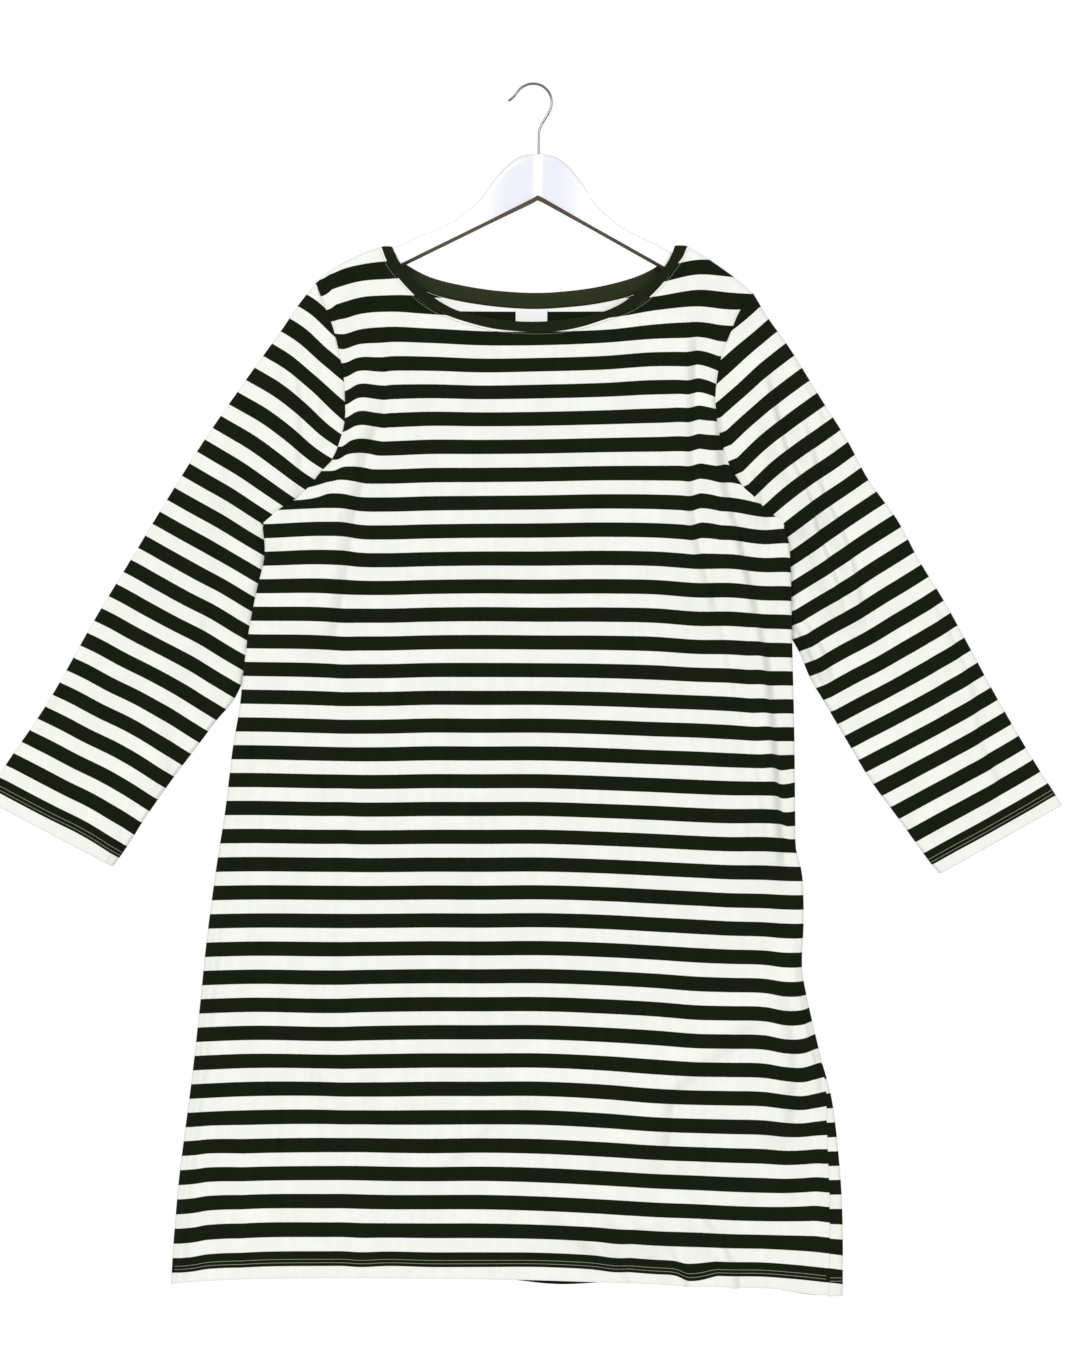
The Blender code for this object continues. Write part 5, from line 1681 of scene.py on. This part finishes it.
def section_places():
    """Distances of the sections from the stem; near the ends they follow 1 - sin(a)."""
    closer = END_LENGTH * (1 - np.sin(np.linspace(0, np.pi / 2, 10)[1:]))
    half = np.concatenate([np.linspace(0, HANGER_REACH - END_LENGTH, 74), HANGER_REACH - closer])
    return np.concatenate([-half[:0:-1], half])


def hanger_skin(places, cos, sin):
    """Points of the sections, each about the middle between its upper and lower line.

    A section's width is (half - r) clip(3 cos a, -1, 1) + r cos a, and its height the same
    with sin a. The corner's radius r is all of the half on top and 1.2 mm below. Both halves
    close at an arm's end by quarter circles. The ridge adds to the width, and the bevel
    lowers the underside towards the back.
    """
    away = np.abs(places)
    rows = smooth_path(HANGER_UPPER, np.linspace(0, 1, 300))
    upper = -np.interp(away, rows[:, 0], rows[:, 1])
    lower = -(HANGER_UNDER_PEAK + HANGER_UNDER_SLOPE * away
              + UNDER_LEFT_LOWER * np.clip((4 - places) / 8, 0, 1))
    closing = END_HEIGHT + (1 - END_HEIGHT) * quarter((HANGER_REACH - away) / END_HEIGHT_LENGTH)
    middle, tall = (upper + lower) / 2, (upper - lower) / 2 * closing
    wide = HANGER_HALF_THICKNESS * (END_THICKNESS + (1 - END_THICKNESS) * quarter(
        (HANGER_REACH - away) / END_THICKNESS_LENGTH))
    round_off = np.minimum(wide, tall)[:, None]
    corner = np.where(sin > 0, round_off, np.minimum(UNDER_CORNER, 0.5 * round_off))
    level, upright = np.clip(cos * SQUARENESS, -1, 1), np.clip(sin * SQUARENESS, -1, 1)
    y = (wide[:, None] - corner) * level + corner * cos
    z = (tall[:, None] - corner) * upright + corner * sin
    y = y + HANGER_RIDGE * np.clip(1 - away / HANGER_RIDGE_REACH, 0, 1)[:, None] * level
    bevel = UNDER_BEVEL * closing[:, None]
    z = z - bevel * (0.5 + y / (2 * wide[:, None])) * (sin < -0.2)
    return np.stack([places[:, None] + 0 * y, y, middle[:, None] + z], axis=2)


places = section_places()
print("hanger:", len(places), "sections from", places[0], "to", places[-1], "mm")

# %% Hanger
SHADED_BELOW = -0.45        # the underside's painted shade lies where the section's sin a is less
HEAD_SHADE_LEFT = (62, 34)      # reach of the head's painted shade to the left, and length of its fading
HEAD_SHADE_RIGHT = (58, 40)     # the same to the right
HEAD_SHADE_RIDGE = (2, 4)       # it leaves out the ridge by the stem, and fades in beside it


def head_painted_shade(places):
    """Share of painted shade on the head by distance from the stem: in beside the ridge, out
    along the arm.

    Each is a soft step, and the two are multiplied.
    """
    away = np.abs(places)
    outer = np.where(places < 0, ease((HEAD_SHADE_LEFT[0] - away) / HEAD_SHADE_LEFT[1]),
                     ease((HEAD_SHADE_RIGHT[0] - away) / HEAD_SHADE_RIGHT[1]))
    return outer * ease((away - HEAD_SHADE_RIDGE[0]) / HEAD_SHADE_RIDGE[1])


def make_hanger(places):
    """The wooden hanger: its skin, closed by a fan of triangles at the end of each arm."""
    turn = np.linspace(0, 2 * np.pi, HANGER_SECTION, endpoint=False)
    cos, sin = np.cos(turn), np.sin(turn)
    points = on_hanger(hanger_skin(places, cos, sin))
    ends = [points[0].mean(axis=0), points[-1].mean(axis=0)]
    count, sides = points.shape[:2]
    faces = [tuple(quad) for quad in grid_faces(count, sides, True, False).tolist()]
    first, last = count * sides, count * sides + 1
    faces += [(first, (k + 1) % sides, k) for k in range(sides)]
    faces += [(last, last - 1 - sides + k, last - 1 - sides + (k + 1) % sides)
              for k in range(sides)]
    mesh = closed_mesh("hanger_wood", np.vstack([points.reshape(-1, 3), ends]), faces)
    # Painted shade: the underside is marked for dark brown, the head's front faces for bluish grey.
    under = np.broadcast_to(sin < SHADED_BELOW, (count, sides))
    head_shade = head_painted_shade(places)[:, None] * (cos < 0.2)
    for label, values in (("underside", under), ("head_shade", head_shade)):
        mark_points(mesh, label, np.append(values.ravel(), [0, 0]))
    hanger = put_in_scene("hanger_wood", mesh, gloss_paint)
    mesh.set_sharp_from_angle(angle=math.radians(38))
    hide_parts("hanger_body")
    print("hanger:", len(mesh.polygons), "faces")
    return hanger


hanger = make_hanger(places)

# %% [markdown]
# The hook is one piece of bright wire: a straight stem, a bend outwards and most of a circle,
# ending in a slightly flared tip with a rounded end. A curve with a round bevel would give the
# same tube, but this one knows its own length, which the scratches of the wire follow.

# %% Hook
HOOK_WIRE = 1.15          # radius of the wire
HOOK_SIDES = 20
HOOK_POINT = 0.01         # radius left at the very tip, so that its last ring isn't a point
HOOK_ROUTE = [            # the wire's centre line: foot, stem, bend, crown, tip
    (6.2, -70.5), (6.2, -60), (6.4, -50), (7, -43.5), (9, -38), (12.2, -33), (16, -26.5),
    (18.3, -20.5), (18.7, -15), (17.4, -10), (14.3, -5), (9.6, -1), (4, 0.9), (-2, 1.1),
    (-7.3, -0.6), (-11.5, -3.2), (-14.5, -6.4), (-17.3, -10.2), (-20, -13), (-22.6, -14.9)]


def make_hook():
    """A tube of radius r along the hook's route; rings stand square to it in the XZ plane.

    The last rings lie d beyond the route's end and have the radius sqrt(r^2 - d^2).
    """
    route = smooth_path(HOOK_ROUTE, np.linspace(0, 1, 110))
    run = unit(np.gradient(route, axis=0))
    cap = HOOK_WIRE * np.sin(np.linspace(0, np.pi / 2, 7))[1:]
    radius = np.append(np.full(len(route), HOOK_WIRE),
                       np.sqrt(np.maximum(HOOK_WIRE ** 2 - cap ** 2, HOOK_POINT ** 2)))
    route = np.vstack([route, route[-1] + run[-1] * cap[:, None]])
    run = np.vstack([run, np.repeat(run[-1:], len(cap), axis=0)])
    turn = np.linspace(0, 2 * np.pi, HOOK_SIDES, endpoint=False)
    beside = np.stack([run[:, 1], 0 * run[:, 0], -run[:, 0]], axis=1)
    path = np.stack([route[:, 0], 0 * route[:, 0], route[:, 1]], axis=1)
    ring = path[:, None] + radius[:, None, None] * (
        np.cos(turn)[:, None] * beside[:, None] + np.sin(turn)[:, None] * np.array([0, 1.0, 0]))
    length = travelled(path)
    cloth = np.stack(np.broadcast_arrays(turn[None, :] * HOOK_WIRE, length[:, None]), axis=2)
    mesh = closed_mesh("hook_wire", ring.reshape(-1, 3), tube_faces(*ring.shape[:2]),
                       cloth.reshape(-1, 2))
    hook = put_in_scene("hook_wire", mesh, bright_wire)
    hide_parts("hanger_hook")
    print("hook: wire", round(float(length[-1])), "mm long")
    return hook


hook = make_hook()

# %% [markdown]
# ## Floor
#
# A pale round floor lies well below the dress. It is only seen from above, and it sends a
# little light back up.

# %% Floor
FLOOR_UP = -1900.0
FLOOR_RADIUS = 1900.0
FLOOR_RINGS = 12
FLOOR_SIDES = 64
FLOOR_TONES = ((0.74, 0.74, 0.73, 1), (0.8, 0.8, 0.79, 1))


def make_floor():
    """A flat disc: rings of points (r cos a, r sin a) out to its radius."""
    turn = np.linspace(0, 2 * np.pi, FLOOR_SIDES, endpoint=False)
    radius = np.linspace(0.05, 1, FLOOR_RINGS)[:, None] * FLOOR_RADIUS
    points = np.stack([radius * np.cos(turn), radius * np.sin(turn),
                       FLOOR_UP + 0 * radius * turn], axis=2)
    mesh = bpy.data.meshes.new("pale_floor")
    faces = grid_faces(FLOOR_RINGS, FLOOR_SIDES, True, True).tolist() + [list(range(FLOOR_SIDES))]
    mesh.from_pydata((points.reshape(-1, 3) * MM).tolist(), [], faces)
    material, tree, shader = new_material("pale_floor", Roughness=0.8)
    speckle = noise(tree, node(tree, "ShaderNodeTexCoord").outputs["Object"], 30.0, 4.0)
    tree.links.new(mix_colour(tree, speckle, *FLOOR_TONES), shader.inputs["Base Color"])
    mesh.materials.append(material)
    floor = bpy.data.objects.new("pale_floor", mesh)
    bpy.context.scene.collection.objects.link(floor)
    print("floor at", FLOOR_UP, "mm")


make_floor()

# %% [markdown]
# ## How much cloth it takes
#
# The areas of the two panels and the two sleeves, worked out as they were made, are added up.

# %% Cloth in all
print("cloth in all:", round(front_area + back_area + left_area + right_area, 2), "m2")
